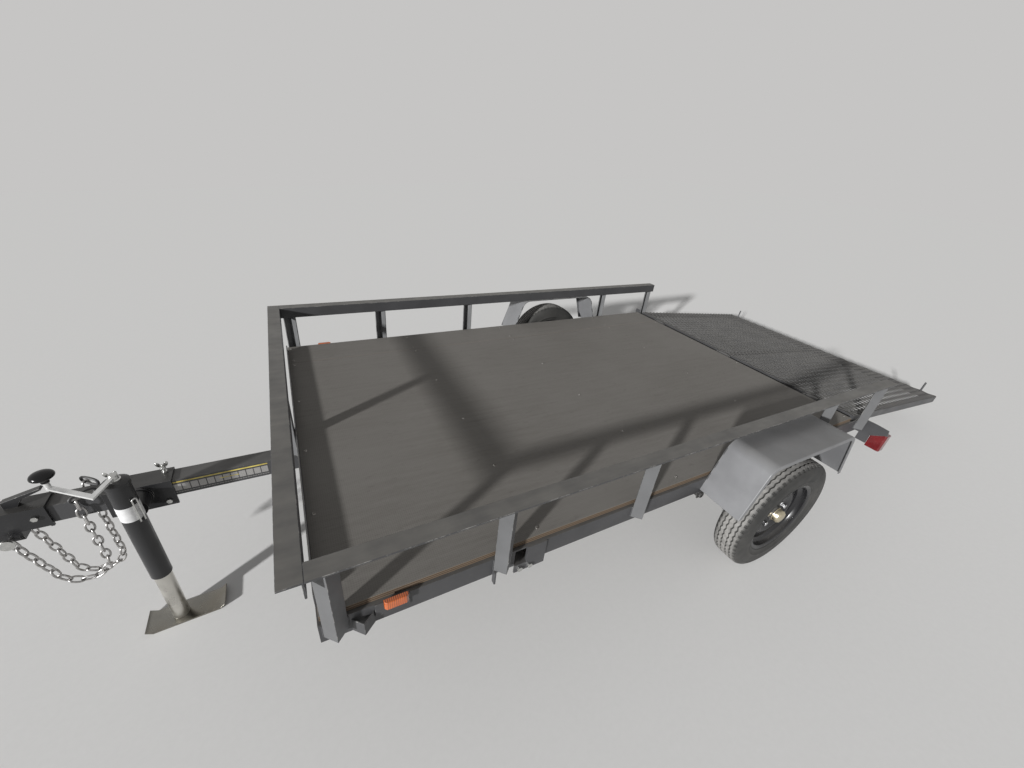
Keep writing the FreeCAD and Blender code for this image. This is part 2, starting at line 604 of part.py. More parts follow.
# Pull pin: locks the swivel ring, with a cross handle.
pin_y = ring_y + 12
pin_x = JACK_X + PIVOT_R + RING_WALL
pull_pin = rod((pin_x, pin_y, PIVOT_Z), (pin_x + 24, pin_y, PIVOT_Z), 6)
handle = rod((pin_x + 24, pin_y, PIVOT_Z - 16), (pin_x + 24, pin_y, PIVOT_Z + 16), 4)
nodes["jack_pull_pin"] = pull_pin.fuse(handle)

# Jack leg: inner tube on a foot plate that lies flat on the ground.
slope = math.radians(TILT)
ground = AXLE_Z - (TYRE_R + (JACK_X - AXLE_X) * math.sin(slope)) / math.cos(slope)
foot_base = V(JACK_X, JACK_Y, ground)
foot_half = FOOT_L / 2
foot_side = [(-foot_half - 18, 20), (-foot_half - 20, 16), (-foot_half, 0), (foot_half, 0),
             (foot_half + 20, 16), (foot_half + 18, 20), (foot_half - 2, FOOT_T), (2 - foot_half, FOOT_T)]
foot_x = JACK_X - FOOT_BACK
foot = prism_y([(foot_x + x, ground + z) for x, z in foot_side], JACK_Y - FOOT_W / 2, JACK_Y + FOOT_W / 2)
below = box(JACK_X - FOOT_L, JACK_X + FOOT_L, JACK_Y - FOOT_W, JACK_Y + FOOT_W, ground + FOOT_T,
            ground - LEG_R)
foot.rotate(foot_base, V(0, 1, 0), TILT)
below.rotate(foot_base, V(0, 1, 0), TILT)
leg = pipe((JACK_X, JACK_Y, ground - FOOT_T), (JACK_X, JACK_Y, LEG_TOP), LEG_R, LEG_R - LEG_WALL)
nodes["jack_leg"] = leg.cut(below)
nodes["jack_foot"] = foot

# Axle: round tube with a spindle at each end and a pad under each spring.
spring_in = SPRING_Y - SPRING_W / 2
spring_out = SPRING_Y + SPRING_W / 2
axle_end = WHEEL_Y - TYRE_W / 2 - AXLE_WALL
spindle_tip = WHEEL_Y + 34
pad_half = CLIP_HALF + 9
pad_top = AXLE_Z + AXLE_R + 6
axle = pipe((AXLE_X, -axle_end, AXLE_Z), (AXLE_X, axle_end, AXLE_Z), AXLE_R, AXLE_R - AXLE_WALL)
fittings = []
for s in (-1, 1):
    fittings.append(box(AXLE_X - pad_half, AXLE_X + pad_half, s * spring_in, s * spring_out,
                        AXLE_Z + AXLE_R - 12, pad_top))
    fittings.append(rod((AXLE_X, s * (axle_end - 40), AXLE_Z), (AXLE_X, s * axle_end, AXLE_Z), AXLE_R))
    fittings.append(rod((AXLE_X, s * axle_end, AXLE_Z), (AXLE_X, s * spindle_tip, AXLE_Z), SPINDLE_R))
nodes["axle"] = axle.fuse(fittings).removeSplitter()

# Leaf springs: three arched leaves with an eye at each end of the longest.
stack = len(LEAF_REACH) * LEAF_T
arch = (SPRING_HALF ** 2 + CAMBER ** 2) / (2 * CAMBER)
arch_z = pad_top + stack - LEAF_T / 2 + arch
eye_z = arch_z - math.sqrt(arch ** 2 - SPRING_HALF ** 2)
eye_x = [AXLE_X - SPRING_HALF, AXLE_X + SPRING_HALF]


def leaf(reach_x, inside):
    # a leaf whose upper face lies on the arc of radius inside
    turn = math.asin(reach_x / arch)
    arcs = []
    for r, turns in ((inside, (-turn, 0, turn)), (inside + LEAF_T, (turn, 0, -turn))):
        arcs.append([V(AXLE_X + r * math.sin(t), spring_in, arch_z - r * math.cos(t)) for t in turns])
    (a0, a1, a2), (b0, b1, b2) = arcs
    loop = [Part.Arc(a0, a1, a2).toShape(), Part.makeLine(a2, b0), Part.Arc(b0, b1, b2).toShape(),
            Part.makeLine(b2, a0)]
    return Part.Face(Part.Wire(loop)).extrude(V(0, SPRING_W, 0))


leaves = [leaf(reach_x, arch - LEAF_T / 2 + n * LEAF_T) for n, reach_x in enumerate(LEAF_REACH)]
eyes = [pipe((x, spring_in, eye_z), (x, spring_out, eye_z), EYE_R, PIN_R + CLEAR) for x in eye_x]
eye_rooms = [rod((x, spring_in, eye_z), (x, spring_out, eye_z), EYE_R - 1) for x in eye_x]
spring = leaves[0].fuse(leaves[1:]).cut(eye_rooms).fuse(eyes)
both("leaf_springs", [spring.removeSplitter()])

# Spring hangers: two cheeks under the frame at each eye, with a bolt as the eye's pin.
pin_in = spring_in - GAP - HANGER_T
pin_out = spring_out + GAP + HANGER_T
hangers = []
for x in eye_x:
    for y in (pin_in, spring_out + GAP):
        cheek = prism_y([(x - 2 * EYE_R, FRAME_BOT), (x + 2 * EYE_R, FRAME_BOT), (x + EYE_R, eye_z - EYE_R),
                         (x - EYE_R, eye_z - EYE_R)], y, y + HANGER_T)
        hangers.append(cheek.cut(rod((x, y, eye_z), (x, y + HANGER_T, eye_z), PIN_R + CLEAR)))
    ends = [hexagon(x, pin_in - BOLT_HEAD, pin_in, eye_z, PIN_R + 5),
            hexagon(x, pin_out, pin_out + BOLT_HEAD, eye_z, PIN_R + 5)]
    hangers.append(rod((x, pin_in, eye_z), (x, pin_out, eye_z), PIN_R).fuse(ends))
both("spring_hangers", hangers)

# U-bolts over the springs and the plates under the axle that they pull up.
plate_top = AXLE_Z - AXLE_R
clip_top = pad_top + stack + GAP + CLIP_R
clip_low = plate_top - PLATE_T - 20
clip_y = [spring_in - GAP - CLIP_R, spring_out + GAP + CLIP_R]
clip_x = [AXLE_X - CLIP_HALF, AXLE_X + CLIP_HALF]
clips = []
for x in clip_x:
    legs = [rod((x, y, clip_low), (x, y, clip_top), CLIP_R) for y in clip_y]
    corners = [Part.makeSphere(CLIP_R, V(x, y, clip_top)) for y in clip_y]
    bridge = rod((x, clip_y[0], clip_top), (x, clip_y[1], clip_top), CLIP_R)
    clips.append(bridge.fuse(legs + corners).removeSplitter())
both("spring_u_bolts", clips)
plate = box(AXLE_X - CLIP_HALF - 16, AXLE_X + CLIP_HALF + 16, clip_y[0] - 10, clip_y[1] + 10,
            plate_top - PLATE_T, plate_top)
clip_holes = [rod((x, y, clip_low), (x, y, plate_top), CLIP_R + CLEAR) for x in clip_x for y in clip_y]
both("spring_plates", [plate.cut(clip_holes)])

# Tyres: hollow bias tyres, their section as (radius, width).
tyre_half = TYRE_W / 2
seat_r = BEAD_R + CLEAR
tyre_outside = [(seat_r, 45), (seat_r + 12, 47.5), (seat_r + 17, tyre_half - 5), (seat_r + 50, tyre_half),
                (TYRE_R - 22, tyre_half - 4), (TYRE_R - 6, tyre_half - 13), (TYRE_R, tyre_half - 21)]
tyre_inside = [(TYRE_R - 10, tyre_half - 25), (TYRE_R - 24, tyre_half - 14), (seat_r + 50, tyre_half - 10),
               (seat_r + 20, tyre_half - 15), (seat_r, 35)]
tyre_profile = (tyre_outside + [(r, -y) for r, y in reversed(tyre_outside)] +
                [(r, -y) for r, y in reversed(tyre_inside)] + tyre_inside)
pair("tyre", turned(tyre_profile, AXLE_X, WHEEL_Y, AXLE_Z))

# Rims: pressed steel with a drop centre and a dished disc.
rim_r = BEAD_R
rim_profile = [(rim_r + 11, 52), (rim_r + 11, 48.5), (rim_r, 46), (rim_r, 26), (rim_r - 16, 18),
               (rim_r - 16, -18), (rim_r, -26), (rim_r, -46), (rim_r + 11, -48.5), (rim_r + 11, -52),
               (rim_r - 3, -49), (rim_r - 3, -28), (rim_r - 19, -20), (rim_r - 19, DISC_Y + 2),
               (100, DISC_Y + 14), (72, DISC_Y), (34, DISC_Y), (34, DISC_Y + 4), (72, DISC_Y + 4),
               (100, DISC_Y + 18), (rim_r - 19, DISC_Y + 6), (rim_r - 19, 20), (rim_r - 3, 28),
               (rim_r - 3, 49)]
rim = turned(rim_profile, AXLE_X, WHEEL_Y, AXLE_Z)
lug_turns = [math.radians(90 + n * 360 / LUG_COUNT) for n in range(LUG_COUNT)]
lug_at = [(AXLE_X + LUG_R * math.cos(t), AXLE_Z + LUG_R * math.sin(t)) for t in lug_turns]
pair("rim", rim.cut([rod((x, WHEEL_Y, z), (x, WHEEL_Y + 30, z), 7) for x, z in lug_at]))

# Hubs with their grease caps and lug nuts.
bore_r = SPINDLE_R + CLEAR
flange_y = DISC_Y - CLEAR
hub_profile = [(bore_r, -52), (34, -52), (34, -8), (72, -8), (72, flange_y), (33, flange_y), (33, HUB_END),
               (bore_r, HUB_END)]
pair("hub", turned(hub_profile, AXLE_X, WHEEL_Y, AXLE_Z))
cap_seat = HUB_END + CLEAR
cap_profile = [(0, 50), (20, 50), (25, 44), (25, cap_seat), (30, cap_seat), (30, 29), (28, 30), (28, 46),
               (22, 53), (0, 53)]
pair("hub_cap", turned(cap_profile, AXLE_X, WHEEL_Y, AXLE_Z))
nuts = []
for x, z in lug_at:
    stud = rod((x, WHEEL_Y + flange_y, z), (x, WHEEL_Y + 24, z), 6)
    nuts.append(stud.fuse(hexagon(x, WHEEL_Y + DISC_Y + 4, WHEEL_Y + DISC_Y + 22, z, 11)))
pair("lug_nuts", Part.makeCompound(nuts))

# Fenders: sheet bent over the wheel, with a turned-down outer lip.
fender_out = WHEEL_Y + TYRE_W / 2 - FENDER_SHORT
fender_top = AXLE_Z + TYRE_R + FENDER_OVER
fender_foot = FRAME_BOT + FENDER_FOOT
top_half = TYRE_R + TOP_PAST
foot_half = TYRE_R + FOOT_PAST
lean = (foot_half - top_half) / (fender_top - fender_foot)


def fender_face(y, depth):
    # the fender's bent outline with one that lies deeper inside it
    shift = depth * math.hypot(1, lean)
    outer = [(-foot_half, y, fender_foot), (-top_half, y, fender_top), (top_half, y, fender_top),
             (foot_half, y, fender_foot)]
    top_shift = shift - depth * lean
    inner_line = [(foot_half - shift, y, fender_foot), (top_half - top_shift, y, fender_top - depth),
                  (top_shift - top_half, y, fender_top - depth), (shift - foot_half, y, fender_foot)]
    ends = [Part.makeLine(V(*outer[-1]), V(*inner_line[0])), Part.makeLine(V(*inner_line[-1]), V(*outer[0]))]
    edges = path(outer, FENDER_BEND) + ends[:1] + path(inner_line, FENDER_BEND - depth) + ends[1:]
    face = Part.Face(Part.Wire(edges))
    face.translate(V(AXLE_X, 0, 0))
    return face


skin = fender_face(OUTER_Y, SHEET).extrude(V(0, fender_out - OUTER_Y, 0))
lip = fender_face(fender_out - SHEET, LIP).extrude(V(0, SHEET, 0))
pair("fender", skin.fuse(lip).removeSplitter())


def bevelled(x0, x1, y0, y1):
    # plan of a lens from x0 back to x1, its outer corners bevelled
    return [(x0, y0), (x0, y1 - CORNER), (x0 - CORNER, y1), (x1 + CORNER, y1), (x1, y1 - CORNER), (x1, y0)]


# Marker lamps: an amber lens on a base plate behind a folded guard by each front post.
marker_y = OUTER_Y + BASE_T
marker_low = FRAME_BOT + MARKER_LOW
marker_end = MARKER_X - MARKER_L
marker_plan = bevelled(MARKER_X, marker_end, marker_y, marker_y + MARKER_T)
both("marker_lenses", [prism_z(marker_plan, marker_low, marker_low + MARKER_H)])
guard = prism_z([(x, OUTER_Y + y) for x, y in GUARD], FRAME_BOT, FRAME_BOT + GUARD_H)
base = box(GUARD[2][0], marker_end - BASE_T, OUTER_Y, marker_y, FRAME_BOT + GUARD_H / 2, FRAME_TOP)
both("marker_brackets", [guard.fuse(base).removeSplitter()])

# Tail lamps: a shaped plate across each end of the frame with a red lamp behind its wing.
plate_x = -RAIL_L
wing = prism_x([(OUTER_Y + y, FRAME_BOT + z) for y, z in WING], plate_x, plate_x - BASE_T)
both("tail_brackets", [wing])
lamp_y = OUTER_Y + LAMP_IN
lamp_plan = bevelled(plate_x - BASE_T, plate_x - BASE_T - LAMP_T, lamp_y, lamp_y + LAMP_W)
lamp_top = FRAME_BOT + LAMP_TOP
both("tail_lenses", [prism_z(lamp_plan, lamp_top - LAMP_H, lamp_top)])

# Gate: angle-iron frame with a middle rib, hinge lugs and two upright stop pins, hinged behind the deck.
hinge_x = DECK_REAR - HINGE_BACK
hinge_z = DECK_TOP - HINGE_DOWN
gate_x0 = hinge_x - HINGE_R - 6
gate_x1 = gate_x0 - GATE_L
gate_y = RAIL_LEG_Y - GATE_SIDE
gate_z = DECK_TOP - SHEET
gate_low = gate_z - GATE_IRON
outer_box = box(gate_x0, gate_x1, -gate_y, gate_y, gate_low, gate_z)
inner_box = box(gate_x0 - GATE_T, gate_x1 + GATE_T, GATE_T - gate_y, gate_y - GATE_T, gate_low,
                gate_z - GATE_T)
window = box(gate_x0 - GATE_IRON, gate_x1 + GATE_IRON, GATE_IRON - gate_y, gate_y - GATE_IRON, gate_low,
             gate_z)
gate = outer_box.cut([inner_box, window])
gate = gate.fuse(box(gate_x0 - GATE_T, gate_x1 + GATE_T, -RIB_T / 2, RIB_T / 2, gate_z - RIB_H, gate_z))
hinge_y = [HINGE_IN - gate_y, 0.0, gate_y - HINGE_IN]
for y in hinge_y:
    lug = rod((hinge_x, y - LUG_HALF, hinge_z), (hinge_x, y + LUG_HALF, hinge_z), HINGE_R + 5)
    lug = lug.fuse(box(hinge_x, gate_x0, y - LUG_HALF, y + LUG_HALF, hinge_z - 5, hinge_z + 5))
    gate = gate.fuse(lug.cut(rod((hinge_x, y - LUG_HALF, hinge_z), (hinge_x, y + LUG_HALF, hinge_z),
                                 HINGE_R + CLEAR)))
stop_x = gate_x1 + GATE_IRON / 2
for y in (STOP_IN - gate_y, gate_y - STOP_IN):
    gate = gate.fuse(rod((stop_x, y, gate_z - GATE_T), (stop_x, y, gate_z + STOP_H), STOP_R))
gate = gate.removeSplitter()

# Gate mesh: expanded sheet, two interleaved rows of diamond openings with even strands.
stop_holes = [rod((stop_x, y, gate_z - GATE_T), (stop_x, y, gate_z + STOP_H), STOP_R + CLEAR)
              for y in (STOP_IN - gate_y, gate_y - STOP_IN)]
cell_x = (GATE_L - 2 * GATE_T) / MESH_ROWS
cell_y = (2 * gate_y - 2 * GATE_T) / MESH_COLS
share = 1 - STRAND * math.hypot(1 / cell_x, 1 / cell_y)
hole_x = cell_x / 2 * share
hole_y = cell_y / 2 * share


def closed(points):
    return Part.makePolygon([V(x, y, gate_z) for x, y in points + points[:1]])


diamonds = []
for i in range(2 * MESH_ROWS - 1):
    x = gate_x0 - GATE_T - cell_x * (i + 1) / 2
    for j in range(MESH_COLS - i % 2):
        y = GATE_T - gate_y + cell_y * (j + (1 + i % 2) / 2)
        diamonds.append(closed([(x - hole_x, y), (x, y - hole_y), (x + hole_x, y), (x, y + hole_y)]))
edge = GATE_T / 2
sheet = closed([(gate_x0 - edge, edge - gate_y), (gate_x1 + edge, edge - gate_y),
                (gate_x1 + edge, gate_y - edge), (gate_x0 - edge, gate_y - edge)])
mesh = Part.Face([sheet] + diamonds).extrude(V(0, 0, SHEET)).cut(stop_holes)
for shape in (gate, mesh):
    shape.rotate(V(hinge_x, 0, hinge_z), V(0, 1, 0), -GATE_DROP)
nodes["gate_frame"] = gate
nodes["gate_mesh"] = mesh

# Hinge pins between two ears each, welded behind the deck.
ear_side = [(DECK_REAR, hinge_z - 30), (DECK_REAR, FRAME_TOP), (hinge_x + 6, hinge_z + 12),
            (hinge_x - 10, hinge_z + 8), (hinge_x - 10, hinge_z - 10)]
ear_in = LUG_HALF + EAR_GAP
ear_out = ear_in + EAR_T
knuckles = []
for y in hinge_y:
    pin = rod((hinge_x, y - ear_out - EAR_T, hinge_z), (hinge_x, y + ear_out + EAR_T, hinge_z), HINGE_R)
    ears = [prism_y(ear_side, y + s * ear_in, y + s * ear_out) for s in (-1, 1)]
    knuckles.append(pin.fuse(ears).removeSplitter())
nodes["gate_hinges"] = Part.makeCompound(knuckles)


def stand(shape):
    # tip the trailer nose up about the axle and lift it so that the tyres touch z = 0
    standing = shape.copy()
    standing.rotate(V(AXLE_X, 0, AXLE_Z), V(0, 1, 0), -TILT)
    standing.translate(V(0, 0, TYRE_R - AXLE_Z))
    return standing


placed = {name: stand(shape) for name, shape in nodes.items()}
bound = Part.makeCompound(list(placed.values())).BoundBox
middle_x = (bound.XMin + bound.XMax) / 2
os.makedirs("parts", exist_ok=True)
for name, shape in placed.items():
    shape.translate(V(-middle_x, 0, 0))
    shape.exportStep("parts/" + name + ".step")
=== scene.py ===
import json
import math
import bmesh
import bpy
from mathutils import Matrix, Vector


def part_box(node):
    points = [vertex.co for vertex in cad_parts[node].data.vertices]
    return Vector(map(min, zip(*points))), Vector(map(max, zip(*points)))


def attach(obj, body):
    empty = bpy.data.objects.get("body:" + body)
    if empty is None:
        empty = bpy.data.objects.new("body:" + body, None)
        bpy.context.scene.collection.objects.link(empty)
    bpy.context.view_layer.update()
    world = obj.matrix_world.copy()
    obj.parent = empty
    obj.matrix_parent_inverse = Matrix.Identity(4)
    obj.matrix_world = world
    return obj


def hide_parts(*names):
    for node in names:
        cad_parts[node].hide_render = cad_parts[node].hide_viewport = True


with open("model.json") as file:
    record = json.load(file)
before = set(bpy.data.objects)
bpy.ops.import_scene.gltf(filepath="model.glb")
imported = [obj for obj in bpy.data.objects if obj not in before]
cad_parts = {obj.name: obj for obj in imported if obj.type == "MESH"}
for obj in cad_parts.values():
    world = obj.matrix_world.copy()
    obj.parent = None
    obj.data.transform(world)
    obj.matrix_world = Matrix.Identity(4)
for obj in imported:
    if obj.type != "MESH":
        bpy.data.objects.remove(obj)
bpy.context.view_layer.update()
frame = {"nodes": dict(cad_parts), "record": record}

nodes = frame["nodes"]

# Frame under the deck. Side channels, cross channels and splice plates of pressed steel,
# cut to length, welded together and powder coated black. Their edges are eased and the
# coat has a fine orange peel, road dust and a painted sheen on what faces up, scuffs and rubbed edges.
TILT = 4.5  # degrees that the bed stands nose up
BLACK = (0.042, 0.042, 0.044)
# grey of the film on what faces up: partly road dust, partly a painted sheen
DUST_AND_SHEEN = (0.21, 0.20, 0.18)
BARE_SCUFF = (0.15, 0.145, 0.135)
COAT_GRAIN = 900
rides_on = {name: body for body, held in frame["record"]["behaviour"]["bodies"].items() for name in held}


def node(tree, kind, inputs=(), **settings):
    made = tree.nodes.new(kind)
    for key, value in settings.items():
        setattr(made, key, value)
    for name, value in dict(inputs).items():
        if isinstance(value, bpy.types.NodeSocket):
            tree.links.new(value, made.inputs[name])
        else:
            made.inputs[name].default_value = value
    return made


def finish(name, colour, roughness, metallic=0.0, coat=0.0):
    made = bpy.data.materials.new(name)
    made.use_nodes = True
    surface = made.node_tree.nodes["Principled BSDF"]
    surface.inputs["Base Color"].default_value = (*colour, 1)
    surface.inputs["Roughness"].default_value = roughness
    surface.inputs["Metallic"].default_value = metallic
    surface.inputs["Coat Weight"].default_value = coat
    return made, made.node_tree, surface


def level_place(tree, stretch=(1, 1, 1)):
    # places measured along the sloping bed, so that a stretched grain runs along the deck
    place = node(tree, "ShaderNodeTexCoord").outputs["Object"]
    return node(tree, "ShaderNodeMapping", {"Vector": place, "Scale": stretch,
                                            "Rotation": (0, math.radians(TILT), 0)}).outputs[0]


def cloud(tree, scale, detail=4.0, stretch=(1, 1, 1), rough=0.55):
    return node(tree, "ShaderNodeTexNoise", {"Vector": level_place(tree, stretch), "Scale": scale,
                                            "Detail": detail, "Roughness": rough}).outputs["Fac"]


def ramp(tree, source, stops):
    made = node(tree, "ShaderNodeValToRGB", {"Fac": source})
    while len(made.color_ramp.elements) < len(stops):
        made.color_ramp.elements.new(0.5)
    for element, (at, colour) in zip(made.color_ramp.elements, stops):
        element.position = at
        element.color = (*colour, 1)
    return made.outputs["Color"]


def grey(at_low, at_high, low=0.0, high=1.0):
    return [(low, (at_low,) * 3), (high, (at_high,) * 3)]


def mix(tree, share, a, b, way="MIX"):
    made = node(tree, "ShaderNodeMix", data_type="RGBA", blend_type=way)
    for socket, value in zip((made.inputs[0], made.inputs[6], made.inputs[7]), (share, a, b)):
        if isinstance(value, bpy.types.NodeSocket):
            tree.links.new(value, socket)
        else:
            socket.default_value = (*value, 1) if isinstance(value, tuple) else value
    return made.outputs[2]


def colour_from(tree, surface, tone):
    tree.links.new(tone, surface.inputs["Base Color"])


def gloss_from(tree, surface, source, low, high):
    tree.links.new(ramp(tree, source, grey(low, high, 0.3, 0.7)), surface.inputs["Roughness"])


def bump(tree, surface, height, distance, strength=1.0):
    made = node(tree, "ShaderNodeBump", {"Height": height, "Distance": distance, "Strength": strength})
    tree.links.new(made.outputs[0], surface.inputs["Normal"])


def facing_up(tree, low=0.55, high=0.97):
    normal = node(tree, "ShaderNodeTexCoord").outputs["Normal"]
    up = node(tree, "ShaderNodeSeparateXYZ", {"Vector": normal}).outputs["Z"]
    return ramp(tree, up, grey(0, 1, low, high))


def powder_coat(name, colour, roughness, dust_and_sheen=0.4, scuffed=0.35, peel=0.25):
    made, tree, surface = finish(name, colour, roughness)
    faded = tuple(c * 1.35 for c in colour)
    tone = mix(tree, ramp(tree, cloud(tree, 5, 5), grey(0, 1, 0.35, 0.7)), colour, faded)
    streaks = mix(tree, 0.5, cloud(tree, 14, 6), cloud(tree, 5, 5, (1, 7, 7)))
    # what faces up is painted lighter: partly road dust, partly a painted sheen of light glancing off the
    # tops
    dust_and_sheen_film = ramp(tree, streaks, grey(dust_and_sheen * 0.45, dust_and_sheen, 0.35, 0.7))
    dust_and_sheen_film = mix(tree, 1.0, facing_up(tree), dust_and_sheen_film, "MULTIPLY")
    tone = mix(tree, dust_and_sheen_film, tone, DUST_AND_SHEEN)
    marks = mix(tree, 1.0, ramp(tree, cloud(tree, 34, 3, (1, 9, 9)), grey(0, scuffed, 0.66, 0.75)),
                ramp(tree, cloud(tree, 3, 2), grey(0, 1, 0.45, 0.6)), "MULTIPLY")
    tone = mix(tree, marks, tone, BARE_SCUFF)
    colour_from(tree, surface, tone)
    gloss_from(tree, surface, cloud(tree, 18, 4), roughness - 0.06, roughness + 0.12)
    bump(tree, surface, cloud(tree, COAT_GRAIN, 2), 0.0002, peel)
    return made


def rubbed(name, colour, steel, roughness):
    # the coat on a corner that ropes, straps and boots have rubbed thin
    made, tree, surface = finish(name, colour, roughness)
    worn = ramp(tree, cloud(tree, 40, 6, rough=0.7), grey(0, 0.85, 0.5, 0.66))
    colour_from(tree, surface, mix(tree, worn, colour, steel))
    tree.links.new(ramp(tree, worn, grey(0, 0.8)), surface.inputs["Metallic"])
    gloss_from(tree, surface, cloud(tree, 60, 3), roughness - 0.08, roughness + 0.1)
    return made


def piece_from(name, bm, made, body, smooth=35):
    mesh = bpy.data.meshes.new(name)
    bm.to_mesh(mesh)
    bm.free()
    for material in made if isinstance(made, list) else [made]:
        mesh.materials.append(material)
    for polygon in mesh.polygons:
        polygon.use_smooth = True
    mesh.set_sharp_from_angle(angle=math.radians(smooth))
    piece = bpy.data.objects.new(name, mesh)
    bpy.context.scene.collection.objects.link(piece)
    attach(piece, body)
    return piece


def merged(name):
    bm = bmesh.new()
    bm.from_mesh(nodes[name].data)
    bmesh.ops.remove_doubles(bm, verts=bm.verts, dist=1e-5)
    bmesh.ops.dissolve_limit(bm, angle_limit=math.radians(0.6), verts=bm.verts, edges=bm.edges)
    return bm


def ease_edges(piece, width, segments=2, material=-1):
    eased = piece.modifiers.new("eased_edges", "BEVEL")
    eased.width = width
    eased.segments = segments
    eased.limit_method = "ANGLE"
    eased.angle_limit = math.radians(42)
    eased.profile = 0.5
    eased.material = material
    eased.harden_normals = True


def dressed(name, made, width=0.0009, edge=None, smooth=35):
    # the same body with its sharp corners eased and its edges rubbed
    made = [made, edge] if edge else made
    piece = piece_from(name + "_finished", merged(name), made, rides_on[name], smooth)
    ease_edges(piece, width, 2, 1 if edge else -1)
    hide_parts(name)
    return piece


steel_coat = powder_coat("black_powder_coat", BLACK, 0.42)
coat_edge = rubbed("rubbed_coat", (0.06, 0.06, 0.062), (0.42, 0.41, 0.39), 0.4)
for name in ("frame_sides", "cross_members"):
    dressed(name, steel_coat, 0.0010, coat_edge)

# Weld runs. Short fillets of overlapping ripples where posts, cross channels, tongue, hangers
# and tabs meet the frame, laid by hand and coated over with the rest.
AXLE = Vector((-0.340026, 0, 0.262))
AXLE_ON_BED = Vector((-1.724, 0, -0.401))  # from the front rail's face and the rails' top
RIPPLES = (1.4, 0.9) + (1.18, 0.85) * 6 + (1.1, 0.6)
RIPPLE_STEP = 0.0025
# from here to the end of this section, places and runs on the level bed in millimetres
OUTER_FACE = 781  # of the side channels
INNER_FACE = 773
CHANNEL_FOOT = -292
POST_X = (-88, -533, -1052, -2102, -2545)
POST_LEG = 28.3
POST_FOOT = -267
POST_RUN = (0, 0, 41)
RAIL_FOOT = -6.5
CROSS_X = (-640, -1240, -1990)
CROSS_W = 51
CROSS_FOOT = -290.5
CROSS_RUN = (0, 0, 60)
TONGUE_SEATS = (-50, -103, -641)
HANGER_X = (-2044, -1404)
HANGER_Y = (728, 779.5)
HANGER_RUN = (52, 0, 0)
FENDER_X = -1724
FENDER_SHOULDER = -58
FENDER_REACH = 268  # half the fender's length at its shoulder
FENDER_LEAN = 0.34
FENDER_LEGS = (-90, -150, -200)
FENDER_TABS = (-1640, -1790)
TAB_RUN = (-34, 0, 0)


def tipped(degrees, axis):
    return Matrix.Rotation(math.radians(degrees), 4, axis)


BED = Matrix.Translation(AXLE) @ tipped(-TILT, "Y") @ Matrix.Translation(-AXLE_ON_BED)
bead = bmesh.new()
bmesh.ops.create_circle(bead, cap_ends=True, radius=0.002, segments=6)
bmesh.ops.transform(bead, verts=bead.verts, matrix=tipped(90, "Y"))
bead.faces.ensure_lookup_table()
bead_end = bead.faces[0]
for ripple in RIPPLES:
    grown = bmesh.ops.extrude_face_region(bead, geom=[bead_end])["geom"]
    bead_end = [g for g in grown if isinstance(g, bmesh.types.BMFace)][0]
    bmesh.ops.translate(bead, verts=bead_end.verts, vec=(RIPPLE_STEP, 0, 0))
    bmesh.ops.scale(bead, verts=bead_end.verts, vec=(1, ripple, ripple),
                    space=Matrix.Translation(-bead_end.calc_center_median()))
bmesh.ops.recalc_face_normals(bead, faces=bead.faces)
bead_mesh = bpy.data.meshes.new("weld_ripples")
bead.to_mesh(bead_mesh)
bead.free()


def lay(bm, mesh, place):
    # another copy of a small mesh, at a place on the level bed
    first = len(bm.verts)
    bm.from_mesh(mesh)
    bm.verts.ensure_lookup_table()
    bmesh.ops.transform(bm, matrix=BED @ place, verts=bm.verts[first:])


def weld(bm, start, run, size=1.0):
    start, run = Vector(start) / 1000, Vector(run) / 1000
    place = Matrix.Translation(start) @ run.to_track_quat("X", "Z").to_matrix().to_4x4()
    stretch = run.length / (RIPPLE_STEP * len(RIPPLES))
    lay(bm, bead_mesh, place @ Matrix.Diagonal((stretch, size, size, 1)))


welds = bmesh.new()
for side in (-1, 1):
    outer = side * OUTER_FACE
    inner = side * INNER_FACE
    for x in POST_X:
        for reach in (-POST_LEG, POST_LEG):
            weld(welds, (x + reach, outer - side * 0.5, POST_FOOT), POST_RUN)
            weld(welds, (x + reach * 0.95, outer + side * 0.5, RAIL_FOOT), (-reach * 0.75, side * 25.5, 0))
    for x in CROSS_X:
        weld(welds, (x - 3, inner, CROSS_FOOT), (6 - CROSS_W, 0, 0))
        weld(welds, (x + 0.5, inner, CROSS_FOOT + 2.5), CROSS_RUN)
    for x in TONGUE_SEATS:
        weld(welds, (x, side * 4, CHANNEL_FOOT - 0.5), (0, side * 26, 0), 0.9)
    for x in HANGER_X:
        for y in HANGER_Y:
            weld(welds, (x - HANGER_RUN[0] / 2, side * y, CHANNEL_FOOT), HANGER_RUN)
    for z in FENDER_LEGS:
        reach = FENDER_REACH + (FENDER_SHOULDER - z) * FENDER_LEAN
        for out in (-1, 1):
            weld(welds, (FENDER_X + out * (reach + 1), outer, z), (out * 10, 0, -28), 0.9)
    for x in FENDER_TABS:
        weld(welds, (x, outer, FENDER_SHOULDER + 1.5), TAB_RUN, 0.9)
piece_from("weld_runs", welds, steel_coat, "frame", 60)

